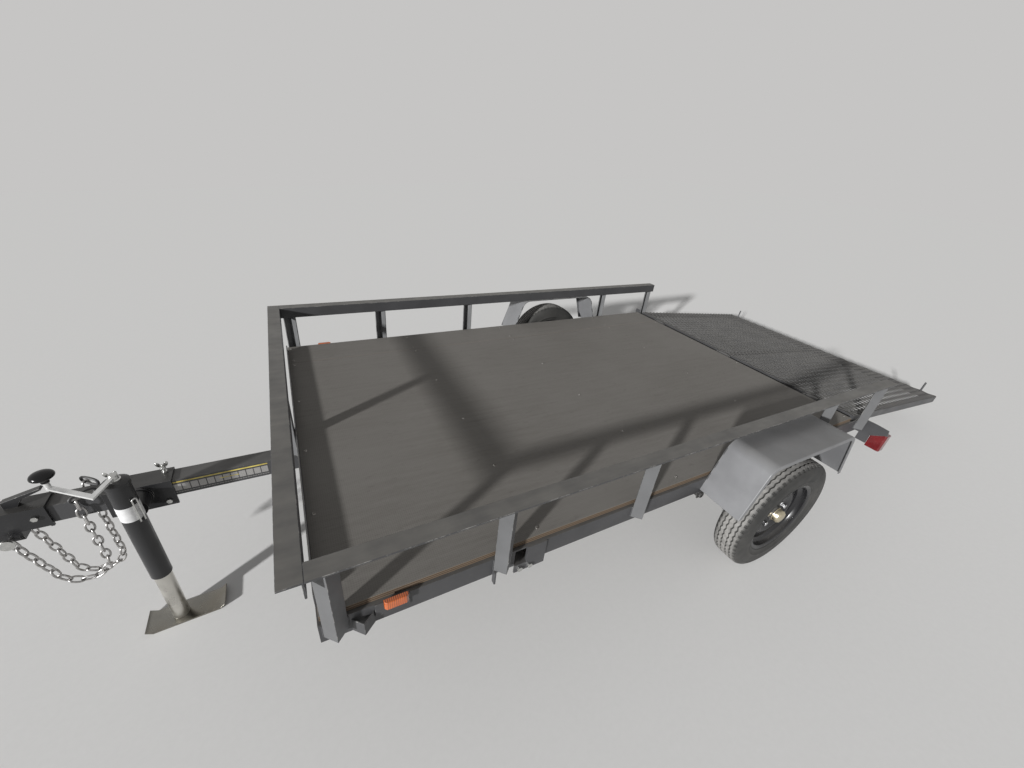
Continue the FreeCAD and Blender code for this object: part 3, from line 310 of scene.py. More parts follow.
# Deck. A wide sheet and a narrow board of film-faced plywood with a fine wire-mesh emboss,
# gone dusty grey in use. The cut edges show the brown plies.
WIRES = 52.0
PLIES = 44.0
DRY = (0.228, 0.217, 0.202)
STAIN = (0.090, 0.082, 0.073)
ply, tree, surface = finish("faced_plywood", (0.13, 0.12, 0.107), 0.62)
long_grain = cloud(tree, 2.6, 8, (1.0, 22, 22), 0.62)
fine_grain = cloud(tree, 14, 6, (1.4, 50, 50), 0.6)
tone = ramp(tree, long_grain, [(0.30, (0.146, 0.136, 0.122)), (0.5, (0.183, 0.173, 0.158)),
                               (0.72, (0.215, 0.204, 0.188))])
fibres = ramp(tree, fine_grain, [(0.35, (0.115, 0.106, 0.096)), (0.65, (0.235, 0.223, 0.206))])
tone = mix(tree, 0.25, tone, fibres)
tone = mix(tree, ramp(tree, cloud(tree, 1.8, 5), grey(0, 0.5, 0.38, 0.7)), tone, DRY)
tone = mix(tree, ramp(tree, cloud(tree, 26, 5, (1, 2, 1)), grey(0, 0.4, 0.62, 0.78)), tone, STAIN)
wires = [node(tree, "ShaderNodeTexWave", {"Vector": level_place(tree), "Scale": WIRES},
              bands_direction=way).outputs["Fac"] for way in ("X", "Y")]
emboss = node(tree, "ShaderNodeMath", {0: wires[0], 1: wires[1]}, operation="MAXIMUM").outputs[0]
# the emboss's hollows are painted darker than its raised wires: painted shade
tone = mix(tree, 0.22, tone, mix(tree, emboss, (0.06, 0.055, 0.05), (0.19, 0.18, 0.165)))
plies = node(tree, "ShaderNodeTexWave", {"Vector": level_place(tree), "Scale": PLIES, "Distortion": 1.2,
                                         "Detail": 2.0}, bands_direction="Z")
edge = ramp(tree, plies.outputs["Fac"], [(0.25, (0.060, 0.042, 0.030)), (0.75, (0.17, 0.125, 0.085))])
normal = node(tree, "ShaderNodeTexCoord").outputs["Normal"]
upward = node(tree, "ShaderNodeSeparateXYZ", {"Vector": normal}).outputs["Z"]
level = node(tree, "ShaderNodeMath", {0: upward}, operation="ABSOLUTE").outputs[0]
colour_from(tree, surface, mix(tree, ramp(tree, level, grey(0, 1, 0.4, 0.6)), edge, tone))
surface.inputs["Specular IOR Level"].default_value = 0.3
gloss_from(tree, surface, long_grain, 0.66, 0.82)
bump(tree, surface, mix(tree, 0.2, emboss, fine_grain), 0.0004, 0.3)
for name in ("deck_sheet", "deck_board"):
    dressed(name, ply, 0.0007)

# Deck screws. Flanged self-drilling screws with a dished drive, zinc plated and gone dull,
# driven down through the plywood into the cross channels and the frame's two end angles.
SCREW_HEAD = [(0.0, 0.0009), (0.0016, 0.0009), (0.0022, 0.0018), (0.0042, 0.0016), (0.0060, 0.0004),
              (0.0062, -0.0002)]
SCREW_X = (-0.074, -0.666, -1.266, -2.016, -2.455)
SCREW_Y = (-0.742, -0.604, -0.552, -0.215, 0.130, 0.440, 0.742)
DECK_TOP = -0.206


def turned(profile, centre, turns, axis=(0, 0, 1), out=(1, 0, 0), angle=math.tau):
    # (radius, place along the axis) pairs turned about the axis through centre
    centre, axis, out = Vector(centre), Vector(axis), Vector(out)
    bm = bmesh.new()
    line = [bm.verts.new(centre + out * r + axis * w) for r, w in profile]
    edges = [bm.edges.new(pair) for pair in zip(line, line[1:])]
    bmesh.ops.spin(bm, geom=line + edges, cent=centre, axis=axis, angle=angle, steps=turns,
                   use_merge=angle == math.tau)
    bmesh.ops.remove_doubles(bm, verts=bm.verts, dist=1e-6)
    bmesh.ops.recalc_face_normals(bm, faces=bm.faces)
    return bm


head = turned(SCREW_HEAD, (0, 0, 0), 12)
head_mesh = bpy.data.meshes.new("screw_head")
head.to_mesh(head_mesh)
head.free()
screws = bmesh.new()
for x in SCREW_X:
    for y in SCREW_Y:
        lay(screws, head_mesh, Matrix.Translation((x, y, DECK_TOP)))
dull_zinc, tree, surface = finish("dull_zinc", (0.30, 0.29, 0.27), 0.5, 0.8)
colour_from(tree, surface, mix(tree, ramp(tree, cloud(tree, 120, 3), grey(0, 1, 0.4, 0.6)),
                               (0.12, 0.11, 0.10), (0.36, 0.35, 0.33)))
gloss_from(tree, surface, cloud(tree, 200, 2), 0.4, 0.65)
piece_from("deck_screws", screws, dull_zinc, "frame", 50)

# Rails and posts. Angle iron: the rails lie with one leg outward, the posts stand with their
# corner outward, welded to the frame's side and under the rail.
# the rails get a heavier film on what faces up: partly dust, partly a painted sheen of light glancing
# along their flanges
rail_coat_dust_and_sheen = powder_coat("rail_coat_dust_and_sheen", BLACK, 0.44, 0.74)
for name in ("side_rails", "rail_front"):
    dressed(name, rail_coat_dust_and_sheen, 0.0012, coat_edge)
# the posts' coat is a lighter grey than the rails' black: painted sunlight, a lit copy of the same black
# coat
dressed("posts", powder_coat("post_coat_painted_light", (0.095, 0.096, 0.098), 0.42, 0.4, 0.5), 0.0012, coat_edge)

# Tongue. One square tube from under the deck to the coupler, with a reflective strip on its
# left side: a yellow line along its upper edge, silver blocks with dark divisions and a row of
# dashes below.
dressed("tongue", steel_coat, 0.0022, coat_edge)
DARK, SILVER, YELLOW = range(3)
# each row's ends, its lower and upper edge in mm, the blocks in it, the dark gap and the colour
STRIP_ROWS = ((58, 338, -338, -308, 12, 0.0022, SILVER), (58, 338, -303, -298, 1, 0, YELLOW),
              (58, 338, -346, -342, 36, 0.0014, SILVER), (150, 208, -323, -320, 1, 0, YELLOW))
strip = bmesh.new()
for x0, x1, z0, z1, parts, gap, tint in STRIP_ROWS:
    strip_face = 0.03195 if parts > 1 else 0.0321
    row = (Matrix.Translation(((x0 + x1) / 2000, strip_face, (z0 + z1) / 2000)) @ tipped(-90, "X")
           @ Matrix.Diagonal(((x1 - x0) / 1000, (z1 - z0) / 1000, 1, 1)))
    laid = len(strip.faces)
    bmesh.ops.create_grid(strip, x_segments=parts, y_segments=1, size=0.5, matrix=row)
    strip.faces.ensure_lookup_table()
    blocks = strip.faces[laid:]
    for block in blocks:
        block.material_index = tint
    if gap:
        for border in bmesh.ops.inset_individual(strip, faces=blocks, thickness=gap)["faces"]:
            border.material_index = DARK
bmesh.ops.recalc_face_normals(strip, faces=strip.faces)
bmesh.ops.solidify(strip, geom=strip.faces[:], thickness=0.0002)
bmesh.ops.transform(strip, matrix=BED, verts=strip.verts)
strip_dark, tree, surface = finish("strip_backing", (0.05, 0.05, 0.052), 0.4)
colour_from(tree, surface, mix(tree, cloud(tree, 90, 4), (0.04, 0.04, 0.042), (0.075, 0.072, 0.07)))
strip_silver, tree, surface = finish("strip_silver", (0.33, 0.32, 0.31), 0.38, 0.3)
honeycomb = node(tree, "ShaderNodeTexVoronoi", {"Vector": level_place(tree), "Scale": 420.0},
                 feature="DISTANCE_TO_EDGE")
colour_from(tree, surface, mix(tree, ramp(tree, honeycomb.outputs["Distance"], grey(0, 1, 0.02, 0.12)),
                               (0.22, 0.215, 0.21), (0.38, 0.37, 0.36)))
gloss_from(tree, surface, cloud(tree, 50, 4), 0.3, 0.5)
strip_yellow, tree, surface = finish("strip_yellow", (0.58, 0.47, 0.10), 0.4)
colour_from(tree, surface, mix(tree, ramp(tree, cloud(tree, 40, 4), grey(0, 1, 0.4, 0.65)),
                               (0.42, 0.33, 0.07), (0.64, 0.53, 0.13)))
piece_from("tongue_strip", strip, [strip_dark, strip_silver, strip_yellow], "frame")

# Coupler and latch. A pressed sleeve bolted over the tongue's end with its ball socket ahead,
# and a lever that lies back along the top. Black coated, rubbed bright at the rims.
gloss_coat = powder_coat("gloss_coat", (0.014, 0.014, 0.015), 0.30, 0.22, 0.3, 0.15)
for name in ("coupler", "coupler_latch", "chain_tab"):
    dressed(name, gloss_coat, 0.0011, coat_edge)

# Safety chains. Two galvanised chains from the cross bolt under the coupler, back below the
# tongue and up over it, every link bent from round wire, with a forged hook at each end.


def plated(name, colour, roughness, grain, dull=0.7, stain=None, metallic=1.0):
    made, tree, surface = finish(name, colour, roughness, metallic)
    dulled = tuple(c * dull for c in colour)
    tone = mix(tree, ramp(tree, cloud(tree, grain, 5), grey(0, 1, 0.35, 0.7)), dulled, colour)
    if stain:
        tone = mix(tree, ramp(tree, cloud(tree, grain * 0.4, 6), grey(0, 0.6, 0.52, 0.75)), tone, stain)
    colour_from(tree, surface, tone)
    gloss_from(tree, surface, cloud(tree, grain * 2, 4), roughness - 0.08, roughness + 0.14)
    bump(tree, surface, cloud(tree, grain * 6, 3), 0.0002, 0.25)
    return made


def drawn_round(name, made, swell):
    bm = bmesh.new()
    bm.from_mesh(nodes[name].data)
    bmesh.ops.remove_doubles(bm, verts=bm.verts, dist=1e-5)
    bmesh.ops.join_triangles(bm, faces=bm.faces[:], angle_face_threshold=math.radians(4),
                             angle_shape_threshold=math.radians(180))
    bm.normal_update()
    for v in bm.verts:
        v.co += v.normal * swell
    piece = piece_from(name + "_wire", bm, made, rides_on[name], 180)
    rounded = piece.modifiers.new("round_wire", "SUBSURF")
    rounded.levels = rounded.render_levels = 1
    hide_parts(name)


galvanised = plated("galvanised_wire", (0.56, 0.55, 0.54), 0.34, 110, 0.6, (0.22, 0.2, 0.17))
drawn_round("safety_chains", galvanised, 0.0004)
drawn_round("chain_hooks", steel_coat, 0.0004)
zinc = plated("zinc_plate", (0.66, 0.66, 0.64), 0.26, 40, 0.8)
dressed("chain_bolt", zinc, 0.0008)

# Jack. A round tube on a swivel ring, held by a bracket that is clamped over the tongue; a flat
# zinc crank, and a zinc inner leg welded to a foot plate with turned-up ends.
dressed("jack_bracket", gloss_coat, 0.0012, coat_edge)
dressed("bracket_bolts", zinc, 0.0007)
tube_coat = powder_coat("jack_tube_coat", (0.016, 0.016, 0.017), 0.36, 0.15, 0.2)
dressed("jack_tube", tube_coat, 0.0010, coat_edge)
# bright zinc made only partly metallic, so that part of its reflection is a painted sheen in the base
# colour
crank_zinc_painted_sheen = plated("crank_zinc_painted_sheen", (0.84, 0.84, 0.83), 0.28, 30, 0.88, metallic=0.6)
dressed("jack_crank", crank_zinc_painted_sheen, 0.0010)
dressed("jack_pull_pin", zinc, 0.0006)
leg_zinc = plated("leg_zinc", (0.72, 0.70, 0.65), 0.30, 14, 0.82)
dressed("jack_leg", leg_zinc, 0.0008)
foot_zinc = plated("foot_zinc", (0.34, 0.33, 0.30), 0.20, 12, 0.7, (0.25, 0.22, 0.17))
dressed("jack_foot", foot_zinc, 0.0010)

# Jack's knob. A glossy black mushroom moulded in one piece of plastic, which turns freely on
# the end of the crank.
KNOB_FOOT = (0.563, 0.122, -0.160)
KNOB = [(0.0001, 0.0195), (0.0088, 0.0198), (0.0098, 0.0220), (0.0092, 0.0290), (0.0115, 0.0335),
        (0.0215, 0.0370), (0.0262, 0.0400), (0.0270, 0.0445), (0.0245, 0.0500), (0.0185, 0.0540),
        (0.0090, 0.0572), (0.0001, 0.0580)]


def on_bed(bm):
    bmesh.ops.transform(bm, matrix=BED, verts=bm.verts)
    return bm


knob_black, tree, surface = finish("knob_plastic", (0.004, 0.004, 0.0045), 0.18)
surface.inputs["Specular IOR Level"].default_value = 0.35
bump(tree, surface, cloud(tree, 160, 3), 0.0002, 0.3)
gloss_from(tree, surface, cloud(tree, 60, 3), 0.16, 0.32)
knob = piece_from("jack_knob_moulded", on_bed(turned(KNOB, KNOB_FOOT, 28)), knob_black, "jack",
                  180)
rounded = knob.modifiers.new("moulded_round", "SUBSURF")
rounded.levels = rounded.render_levels = 1
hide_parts("jack_knob")

# Wing nuts. Cast zinc nuts with two rounded wings each, screwed down by hand on the bracket's
# two studs.
STUDS = (0.358, 0.490)
STUD_Y = -0.014
NUT = [(0.0042, 0.0205), (0.0090, 0.0205), (0.0085, 0.0225), (0.0062, 0.0300), (0.0042, 0.0305)]
NUT_FOOT = -0.285
WING_R = 0.0085
WING_T = 0.0028
WING_OUT = 0.0105
WING_UP = -0.2495
WING_LEAN = 24
WING_SHAPE = Matrix.Diagonal((0.75, 1.25, 1, 1))


def add(bm, other):
    spare = bpy.data.meshes.new("spare")
    other.to_mesh(spare)
    other.free()
    bm.from_mesh(spare)
    bpy.data.meshes.remove(spare)


wing_nuts = bmesh.new()
for x in STUDS:
    add(wing_nuts, turned(NUT, (x, STUD_Y, NUT_FOOT), 14))
    for way in (-1, 1):
        wing = bmesh.new()
        bmesh.ops.create_cone(wing, cap_ends=True, segments=14, radius1=WING_R, radius2=WING_R,
                              depth=WING_T)
        bmesh.ops.bevel(wing, geom=wing.edges[:], offset=0.0008, affect="EDGES", segments=1, profile=0.5,
                        material=-1)
        place = Matrix.Translation((x + way * WING_OUT, STUD_Y, WING_UP))
        place = place @ tipped(way * WING_LEAN, "Y") @ tipped(90, "X") @ WING_SHAPE
        bmesh.ops.transform(wing, verts=wing.verts, matrix=place)
        add(wing_nuts, wing)
piece_from("bracket_wing_nuts", on_bed(wing_nuts), zinc, "frame", 45)

# Crank boss. A turned and zinc plated boss on the tube's cap, with a cross pin through it that
# drives the gears inside.
JACK = Vector((0.426, 0.128, 0))
BOSS = [(0.0001, -0.1500), (0.0085, -0.1500), (0.0105, -0.1515), (0.0118, -0.1560), (0.0118, -0.1660),
        (0.0150, -0.1680), (0.0150, -0.1775), (0.0001, -0.1775)]
PIN_R = 0.0030
PIN_LONG = 0.030
PIN_TURN = 35
PIN_UP = Vector((0, 0, -0.1710))
boss = turned(BOSS, JACK, 20)
cross_pin = bmesh.new()
bmesh.ops.create_cone(cross_pin, cap_ends=True, segments=12, radius1=PIN_R, radius2=PIN_R, depth=PIN_LONG)
bmesh.ops.transform(cross_pin, verts=cross_pin.verts,
                    matrix=Matrix.Translation(JACK + PIN_UP) @ tipped(PIN_TURN, "Z") @ tipped(90, "Y"))
add(boss, cross_pin)
piece_from("jack_crank_boss", on_bed(boss), zinc, "jack", 45)

# Lock bar. One round zinc plated rod bent to a hairpin that stands off the jack's tube, with
# both its ends turned in to it.
INWARD = Vector((0.64, -0.77, 0))
ACROSS = Vector((0.77, 0.64, 0))
UP = Vector((0, 0, 1))
BEND_R = 0.007
LOCK_LEG = 0.080
LOCK_R = 0.0024
LOCK_FOOT = (0.4075, 0.1478, -0.332)
LOCK_TURN = -55
lock = bmesh.new()
bmesh.ops.create_circle(lock, cap_ends=True, radius=LOCK_R, segments=10)
bmesh.ops.transform(lock, verts=lock.verts,
                    matrix=Matrix.Translation(LOCK_FOOT) @ tipped(LOCK_TURN, "Z") @ tipped(90, "Y"))
end = lock.faces[:]
for centre, axis, degrees, run in ((UP * BEND_R, ACROSS, 90, UP * LOCK_LEG),
                                   (ACROSS * -0.006, INWARD, 180, UP * -LOCK_LEG),
                                   (INWARD * BEND_R, ACROSS, -90, None)):
    bent = bmesh.ops.spin(lock, geom=end, cent=end[0].calc_center_median() + centre, axis=axis,
                          angle=math.radians(degrees), steps=8)["geom_last"]
    end = [g for g in bent if isinstance(g, bmesh.types.BMFace)]
    if run:
        grown = bmesh.ops.extrude_face_region(lock, geom=end)["geom"]
        end = [g for g in grown if isinstance(g, bmesh.types.BMFace)]
        bmesh.ops.translate(lock, verts=end[0].verts, vec=run)
bmesh.ops.recalc_face_normals(lock, faces=lock.faces)
piece_from("jack_lock_bar", on_bed(lock), zinc, "jack", 60)

# Label. A strip of blank white vinyl, stuck most of the way round the jack's tube just under
# its cap.
LABEL = [(0.0302, -0.3205), (0.0302, -0.2645)]
LABEL_END = (0.62, -0.785, 0)
LABEL_WRAP = math.radians(250)
LABEL_T = 0.00025
label = turned(LABEL, JACK, 36, out=LABEL_END, angle=LABEL_WRAP)
bmesh.ops.solidify(label, geom=label.faces[:], thickness=LABEL_T)
label_white, tree, surface = finish("label_vinyl", (0.66, 0.66, 0.66), 0.55)
colour_from(tree, surface, mix(tree, ramp(tree, cloud(tree, 60, 5), grey(0, 1, 0.35, 0.7)),
                               (0.60, 0.60, 0.60), (0.72, 0.72, 0.72)))
piece_from("jack_label", on_bed(label), label_white, "jack", 40)

# Axle and springs. A round tube under two three-leaf springs, clamped to them by U-bolts and
# plates. The springs' ends are held in hangers welded below the side channels.
rough_coat = powder_coat("axle_paint", (0.030, 0.029, 0.028), 0.55, 0.6)
for name in ("axle", "leaf_springs", "spring_hangers", "spring_plates", "hub_left", "hub_right"):
    dressed(name, rough_coat, 0.0008, coat_edge)
dressed("spring_u_bolts", zinc, 0.0006)

# Tyres. Bias-ply trailer tyres, one moulded body on each rim: five ribs between zigzag
# grooves, notched shoulders and moulded rings on the sidewall. The tread is painted a light
# grey, partly road dust and partly painted sunlight.
TURNS = 120
TYRE_R = 0.262
TREAD = [(TYRE_R, 0), (TYRE_R, 0.0075), (0.2560, 0.0086), (0.2560, 0.0122), (0.2619, 0.0133),
         (0.2614, 0.0250), (0.2555, 0.0262), (0.2555, 0.0300), (0.2610, 0.0312), (0.2598, 0.0400),
         (0.2570, 0.0452), (0.2525, 0.0505), (0.2460, 0.0545), (0.2380, 0.0575), (0.2340, 0.0590),
         (0.2325, 0.0580), (0.2250, 0.0600), (0.2060, 0.0610), (0.1950, 0.0602), (0.1935, 0.0610),
         (0.1905, 0.0610), (0.1890, 0.0598), (0.1800, 0.0575), (0.1720, 0.0545), (0.1700, 0.0550),
         (0.1680, 0.0540), (0.1660, 0.0510), (0.1650, 0.0480), (0.1600, 0.0465), (0.1553, 0.0450)]
LINER = [(0.1553, 0.035), (0.175, 0.044), (0.205, 0.050), (0.238, 0.046), (0.250, 0.034)]
GROOVED = (0.006, 0.033)  # from the middle, how far the zigzag grooves reach
ZIGZAG = 0.0021
RIBS_FROM = 0.2545
SHOULDER = (0.041, 0.052)
SHOULDER_FROM = 0.252
NOTCH = 0.003
NOTCH_WALL = 0.0012
TREAD_DUST_AND_SUNLIT_GREY = (0.30, 0.292, 0.278)
rubber, tree, surface = finish("tyre_rubber", (0.045, 0.044, 0.043), 0.7)
tone = mix(tree, ramp(tree, cloud(tree, 7, 6), grey(0, 0.8, 0.38, 0.72)), (0.020, 0.020, 0.019),
           (0.062, 0.060, 0.056))
tone = mix(tree, ramp(tree, cloud(tree, 60, 4), grey(0, 0.4, 0.5, 0.7)), tone, (0.05, 0.048, 0.045))
place = node(tree, "ShaderNodeTexCoord").outputs["Object"]
from_hub = node(tree, "ShaderNodeVectorMath", {0: place, 1: AXLE}, operation="SUBTRACT")
spokes = node(tree, "ShaderNodeVectorMath", {0: from_hub.outputs[0], 1: (1, 0, 1)}, operation="MULTIPLY")
reach = node(tree, "ShaderNodeVectorMath", {0: spokes.outputs[0]}, operation="LENGTH").outputs["Value"]
# the tread is painted lighter than the sidewall: partly road dust, partly painted sunlight on it
worn = mix(tree, 1.0, ramp(tree, reach, grey(0, 1, 0.2570, 0.2605)),
           ramp(tree, cloud(tree, 50, 5), grey(0.45, 0.95, 0.3, 0.7)), "MULTIPLY")
colour_from(tree, surface, mix(tree, worn, tone, TREAD_DUST_AND_SUNLIT_GREY))
gloss_from(tree, surface, cloud(tree, 30, 4), 0.6, 0.82)
bump(tree, surface, cloud(tree, 260, 5), 0.0005, 0.45)


def wheel_centre(side):
    low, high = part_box("tyre_" + side)
    return Vector((AXLE.x, (low[1] + high[1]) / 2, AXLE.z))


for side in ("left", "right"):
    centre = wheel_centre(side)
    profile = TREAD[::-1][:-1] + [(r, -w) for r, w in TREAD] + [(r, -w) for r, w in LINER] + LINER[::-1]
    bm = turned(profile + profile[:1], centre, TURNS, (0, 1, 0))
    for v in bm.verts:
        arm = v.co - centre
        step = round(math.atan2(arm.z, arm.x) / math.tau * TURNS) % 2
        if math.hypot(arm.x, arm.z) > RIBS_FROM and GROOVED[0] < abs(arm.y) < GROOVED[1]:
            v.co.y += ZIGZAG if step else -ZIGZAG
    notched = []
    for f in bm.faces:
        arm = f.calc_center_median() - centre
        step = int(math.atan2(arm.z, arm.x) / math.tau * TURNS + TURNS) % 2
        high = math.hypot(arm.x, arm.z) > SHOULDER_FROM
        if SHOULDER[0] < abs(arm.y) < SHOULDER[1] and high and step:
            notched.append(f)
    bmesh.ops.inset_individual(bm, faces=notched, thickness=NOTCH_WALL)
    for f in notched:
        arm = f.calc_center_median() - centre
        arm.y = 0
        bmesh.ops.translate(bm, verts=f.verts, vec=-arm.normalized() * NOTCH)
    tyre = piece_from("tyre_" + side + "_tread", bm, rubber, "wheel_" + side)
    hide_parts("tyre_" + side)

# Rims. Pressed steel in gloss black with a rolled flange and a dished disc, a rubber valve,
# a raised seat under each bright nut, and a plated dust cap over the bearing.
RIM = [(0.1640, 0.0486), (0.1668, 0.0492), (0.1676, 0.0508), (0.1662, 0.0520), (0.1635, 0.0519),
       (0.1590, 0.0505), (0.1545, 0.0488), (0.1520, 0.0470), (0.1520, 0.0290), (0.1505, 0.0270),
       (0.1375, 0.0205), (0.1360, 0.0190), (0.1360, 0.0125), (0.1330, 0.0130), (0.1180, 0.0185),
       (0.1060, 0.0230), (0.1000, 0.0240), (0.0940, 0.0226), (0.0800, 0.0140), (0.0720, 0.0104),
       (0.0660, 0.0100), (0.0340, 0.0100), (0.0340, 0.0060), (0.0660, 0.0060), (0.0720, 0.0062),
       (0.0800, 0.0098), (0.0940, 0.0186), (0.1000, 0.0200), (0.1060, 0.0190), (0.1180, 0.0145),
       (0.1330, 0.0090), (0.1360, 0.0080), (0.1360, -0.0190), (0.1375, -0.0205), (0.1505, -0.0270),
       (0.1520, -0.0290), (0.1520, -0.0470), (0.1545, -0.0488), (0.1590, -0.0505), (0.1635, -0.0519),
       (0.1662, -0.0520), (0.1676, -0.0508), (0.1668, -0.0492), (0.1640, -0.0486), (0.1570, -0.0475),
       (0.1550, -0.0455), (0.1550, -0.0265), (0.1535, -0.0250), (0.1405, -0.0190), (0.1390, -0.0175),
       (0.1390, 0.0175), (0.1405, 0.0190), (0.1535, 0.0250), (0.1550, 0.0265), (0.1550, 0.0455),
       (0.1570, 0.0475)]
SEAT = [(0.0150, 0.0098), (0.0146, 0.0112), (0.0126, 0.0120), (0.0116, 0.0108)]
VALVE = [(0.0080, 0.0170), (0.0078, 0.0195), (0.0055, 0.0215), (0.0046, 0.0290), (0.0040, 0.0310),
         (0.0040, 0.0330), (0.0046, 0.0335), (0.0046, 0.0430), (0.0040, 0.0440), (0.0001, 0.0440)]
NUTS = 5
NUT_CIRCLE = 0.057
VALVE_TURN = 0.9
VALVE_CIRCLE = 0.121
rim_coat = powder_coat("rim_coat", (0.012, 0.012, 0.013), 0.24, 0.2)
chrome = plated("nut_chrome", (0.80, 0.80, 0.81), 0.14, 60)
cap_plate = plated("cap_plate", (0.76, 0.68, 0.50), 0.30, 50)
valve_rubber, tree, surface = finish("valve_rubber", (0.02, 0.02, 0.02), 0.6)
gloss_from(tree, surface, cloud(tree, 80, 4), 0.5, 0.7)
for side, outward in (("left", 1), ("right", -1)):
    centre = wheel_centre(side)
    bm = turned([(r, w * outward) for r, w in RIM + RIM[:1]], centre, 96, (0, 1, 0))
    for n in range(NUTS):
        turn = math.radians(90 + 360 / NUTS * n + TILT)
        at = centre + Vector((math.cos(turn), 0, math.sin(turn))) * NUT_CIRCLE
        add(bm, turned([(r, w * outward) for r, w in SEAT], at, 20, (0, 1, 0)))
    rim = piece_from("rim_" + side + "_pressed", bm, rim_coat, "wheel_" + side, 40)
    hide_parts("rim_" + side)
    at = centre + Vector((math.cos(VALVE_TURN), 0, math.sin(VALVE_TURN))) * VALVE_CIRCLE
    bm = turned([(r, w * outward) for r, w in VALVE], at, 14, (0, 1, 0))
    piece_from("valve_" + side, bm, valve_rubber, "wheel_" + side, 40)
    dressed("lug_nuts_" + side, chrome, 0.0010)
    dressed("hub_cap_" + side, cap_plate, 0.0010)

# Fenders. Steel sheet bent over each wheel with its outer edge turned down in a rounded fold.
# The black coat is painted a soft grey, which is painted sunlit glare, with road dust on what faces up.
HEM = 0.0032
fender_coat = powder_coat("fender_coat_painted_glare", (0.135, 0.136, 0.140), 0.34, 0.25, 0.2, 0.15)
for side, outward in (("left", 1), ("right", -1)):
    name = "fender_" + side
    bm = merged(name)
    low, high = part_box(name)
    rim_y = high[1] if outward > 0 else low[1]
    under = Vector((AXLE.x, rim_y, 0.2))
    hem = []
    for e in bm.edges:
        away = ((e.verts[0].co + e.verts[1].co) / 2 - under).normalized()
        if len(e.link_faces) == 2 and all(abs(v.co.y - rim_y) < 1e-4 for v in e.verts):
            if max(f.normal.dot(away) for f in e.link_faces) > 0.5:
                hem.append(e)
    bmesh.ops.bevel(bm, geom=hem, offset=HEM, affect="EDGES", segments=3, profile=0.5, material=-1)
    piece = piece_from(name + "_pressed", bm, [fender_coat, coat_edge], "frame", 40)
    ease_edges(piece, 0.0008, 2, 1)
    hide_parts(name)

# Lamps. Amber marker lamps on base plates behind folded guards, red tail lamps on a shaped
# plate at each rear corner; moulded lenses with fine ribs inside.
LENS_RIBS = 62.0


def lens(name, colour, deep, run):
    made, tree, surface = finish(name, colour, 0.14, coat=0.7)
    ribs = node(tree, "ShaderNodeTexWave", {"Vector": level_place(tree), "Scale": LENS_RIBS},
                bands_direction=run)
    glow = ramp(tree, cloud(tree, 24, 3), grey(0, 1, 0.35, 0.65))
    tone = mix(tree, glow, mix(tree, ribs.outputs["Fac"], deep, colour), colour)
    colour_from(tree, surface, tone)
    gloss_from(tree, surface, cloud(tree, 50, 4), 0.1, 0.3)
    bump(tree, surface, ribs.outputs["Fac"], 0.0006, 0.6)
    return made


for name in ("marker_brackets", "tail_brackets"):
    dressed(name, steel_coat, 0.0009, coat_edge)
amber = lens("amber_lens", (0.50, 0.105, 0.012), (0.22, 0.036, 0.006), "X")
# the red lens is painted darker than its own red: painted shade
red = lens("red_lens", (0.13, 0.008, 0.010), (0.045, 0.004, 0.005), "Z")
dressed("marker_lenses", amber, 0.0018)
dressed("tail_lenses", red, 0.0022)

# Gate. An angle-iron frame with one flat middle bar and a sheet of expanded steel welded on
# its top, on three hinge pins behind the deck. Each strand of the sheet is twisted out of its
# plane.
dressed("gate_frame", steel_coat, 0.0010, coat_edge)
dressed("gate_hinges", steel_coat, 0.0008, coat_edge)
CELL = (0.0380, 0.0797)  # one diamond, along and across the gate
CELLS = (30, 19)
CORNER = Vector((-2.523, -0.7572, -0.2064))
STRAND_W = 0.0056
STRAND_T = 0.0022
STRAND_LAP = 0.003
TWIST = 34
GATE_DROP = 5.5
HINGE = Vector((-2.505, 0, -0.218))
GATE = BED @ Matrix.Translation(HINGE) @ tipped(-GATE_DROP, "Y") @ Matrix.Translation(-HINGE)
sheet = bmesh.new()
strand = math.hypot(CELL[0], CELL[1]) / 2
lean = math.degrees(math.atan2(CELL[0], CELL[1]))
for cx, cy, way in ((0.25, 0.25, 1), (0.75, 0.25, -1), (0.25, 0.75, -1), (0.75, 0.75, 1)):
    laid = bmesh.ops.create_cube(sheet, size=1.0)["verts"]
    place = Matrix.Translation(CORNER + Vector((-cx * CELL[0], cy * CELL[1], 0)))
    place = place @ tipped(way * lean, "Z") @ tipped(TWIST, "Y")
    place = place @ Matrix.Diagonal((STRAND_W, strand + STRAND_LAP, STRAND_T, 1))
    bmesh.ops.transform(sheet, verts=laid, matrix=place)
for way, count, step in (((-1, 0, 0), CELLS[0], CELL[0]), ((0, 1, 0), CELLS[1], CELL[1])):
    cell = sheet.verts[:] + sheet.edges[:] + sheet.faces[:]
    for n in range(1, count):
        again = bmesh.ops.duplicate(sheet, geom=cell)["geom"]
        bmesh.ops.translate(sheet, verts=[g for g in again if isinstance(g, bmesh.types.BMVert)],
                            vec=Vector(way) * step * n)
bmesh.ops.transform(sheet, matrix=GATE, verts=sheet.verts)
mesh_coat = powder_coat("mesh_coat", (0.040, 0.040, 0.042), 0.36, 0.5, 0.5)
sheet = piece_from("gate_expanded_sheet", sheet, mesh_coat, "gate", 30)
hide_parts("gate_mesh")

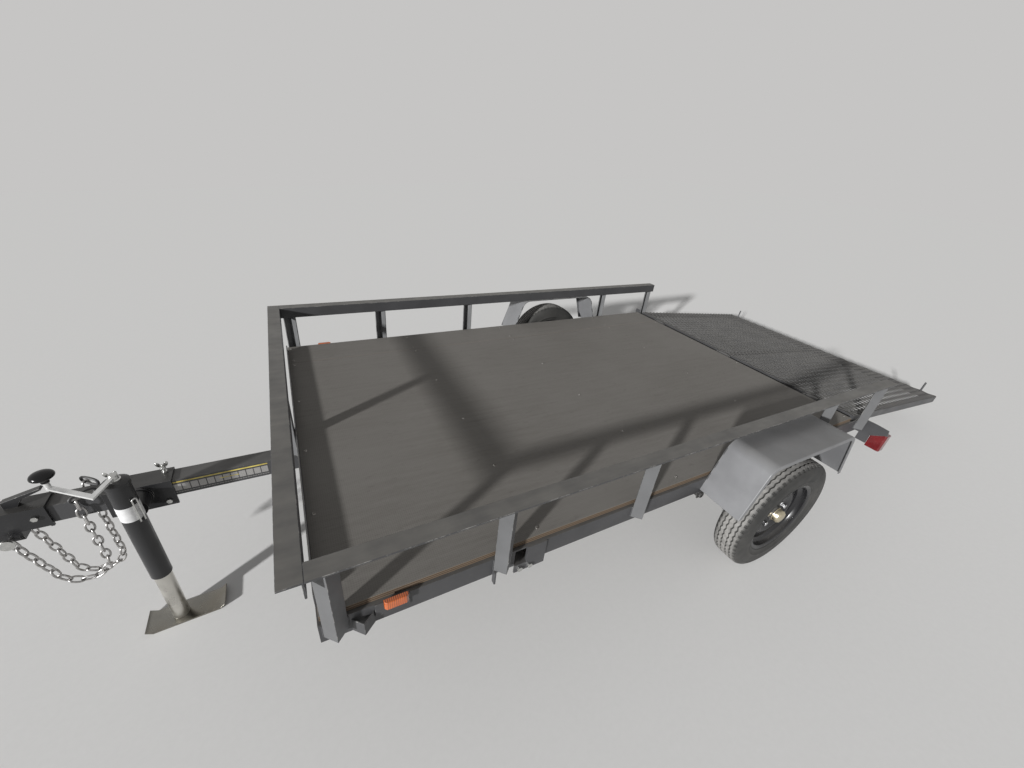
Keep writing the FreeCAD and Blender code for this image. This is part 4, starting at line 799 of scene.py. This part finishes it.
# Studio. A pale floor that runs out into a backdrop of the same tone, one soft key light from
# low on the front left, even light from all round, and the camera.
BACKDROP = (0.5647, 0.5583, 0.552)
EVEN_LIGHT = 0.28
KEY_TURN = 28
KEY_HEIGHT = 18
FLOOR = 14
floor_mesh = bpy.data.meshes.new("floor")
bm = bmesh.new()
bmesh.ops.create_grid(bm, x_segments=1, y_segments=1, size=FLOOR)
bm.to_mesh(floor_mesh)
bm.free()
floor = bpy.data.objects.new("floor", floor_mesh)
bpy.context.scene.collection.objects.link(floor)
pale, tree, surface = finish("pale_floor", (0.74, 0.735, 0.725), 1.0)
surface.inputs["Specular IOR Level"].default_value = 0.0
colour_from(tree, surface, mix(tree, cloud(tree, 60, 6), (0.72, 0.715, 0.705), (0.76, 0.755, 0.745)))
floor_mesh.materials.append(pale)

world = bpy.data.worlds.new("studio")
world.use_nodes = True
bpy.context.scene.world = world
tree = world.node_tree
seen = node(tree, "ShaderNodeLightPath")
share = seen.outputs["Is Camera Ray"]
for ray in ("Is Glossy Ray", "Is Transmission Ray"):
    share = node(tree, "ShaderNodeMath", {0: share, 1: seen.outputs[ray]}, operation="MAXIMUM").outputs[0]
lit = tree.nodes["Background"]
lit.inputs["Color"].default_value = (1.0, 1.0, 1.0, 1)
lit.inputs["Strength"].default_value = EVEN_LIGHT
shown = node(tree, "ShaderNodeBackground", {"Color": (*BACKDROP, 1), "Strength": 1.0})
either = node(tree, "ShaderNodeMixShader", {0: share, 1: lit.outputs[0], 2: shown.outputs[0]})
tree.links.new(either.outputs[0], tree.nodes["World Output"].inputs["Surface"])

key = bpy.data.lights.new("key", "SUN")
key.energy = 4.9
key.angle = math.radians(3)
key_light = bpy.data.objects.new("key", key)
to_key = Vector((math.cos(math.radians(KEY_TURN)), math.sin(math.radians(KEY_TURN)),
                 math.tan(math.radians(KEY_HEIGHT))))
key_light.rotation_euler = (-to_key).to_track_quat("-Z", "Y").to_euler()
bpy.context.scene.collection.objects.link(key_light)

camera = bpy.data.cameras.new("camera")
camera.lens = 14.3007
camera.sensor_width = 36.0
camera.clip_start = 0.05
view = bpy.data.objects.new("camera", camera)
view.location = (1.16947, 1.42649, 1.55553)
view.rotation_euler = (math.radians(58.390), math.radians(-1.498), math.radians(152.627))
bpy.context.scene.collection.objects.link(view)
bpy.context.scene.camera = view
bpy.context.scene.view_settings.view_transform = "Standard"
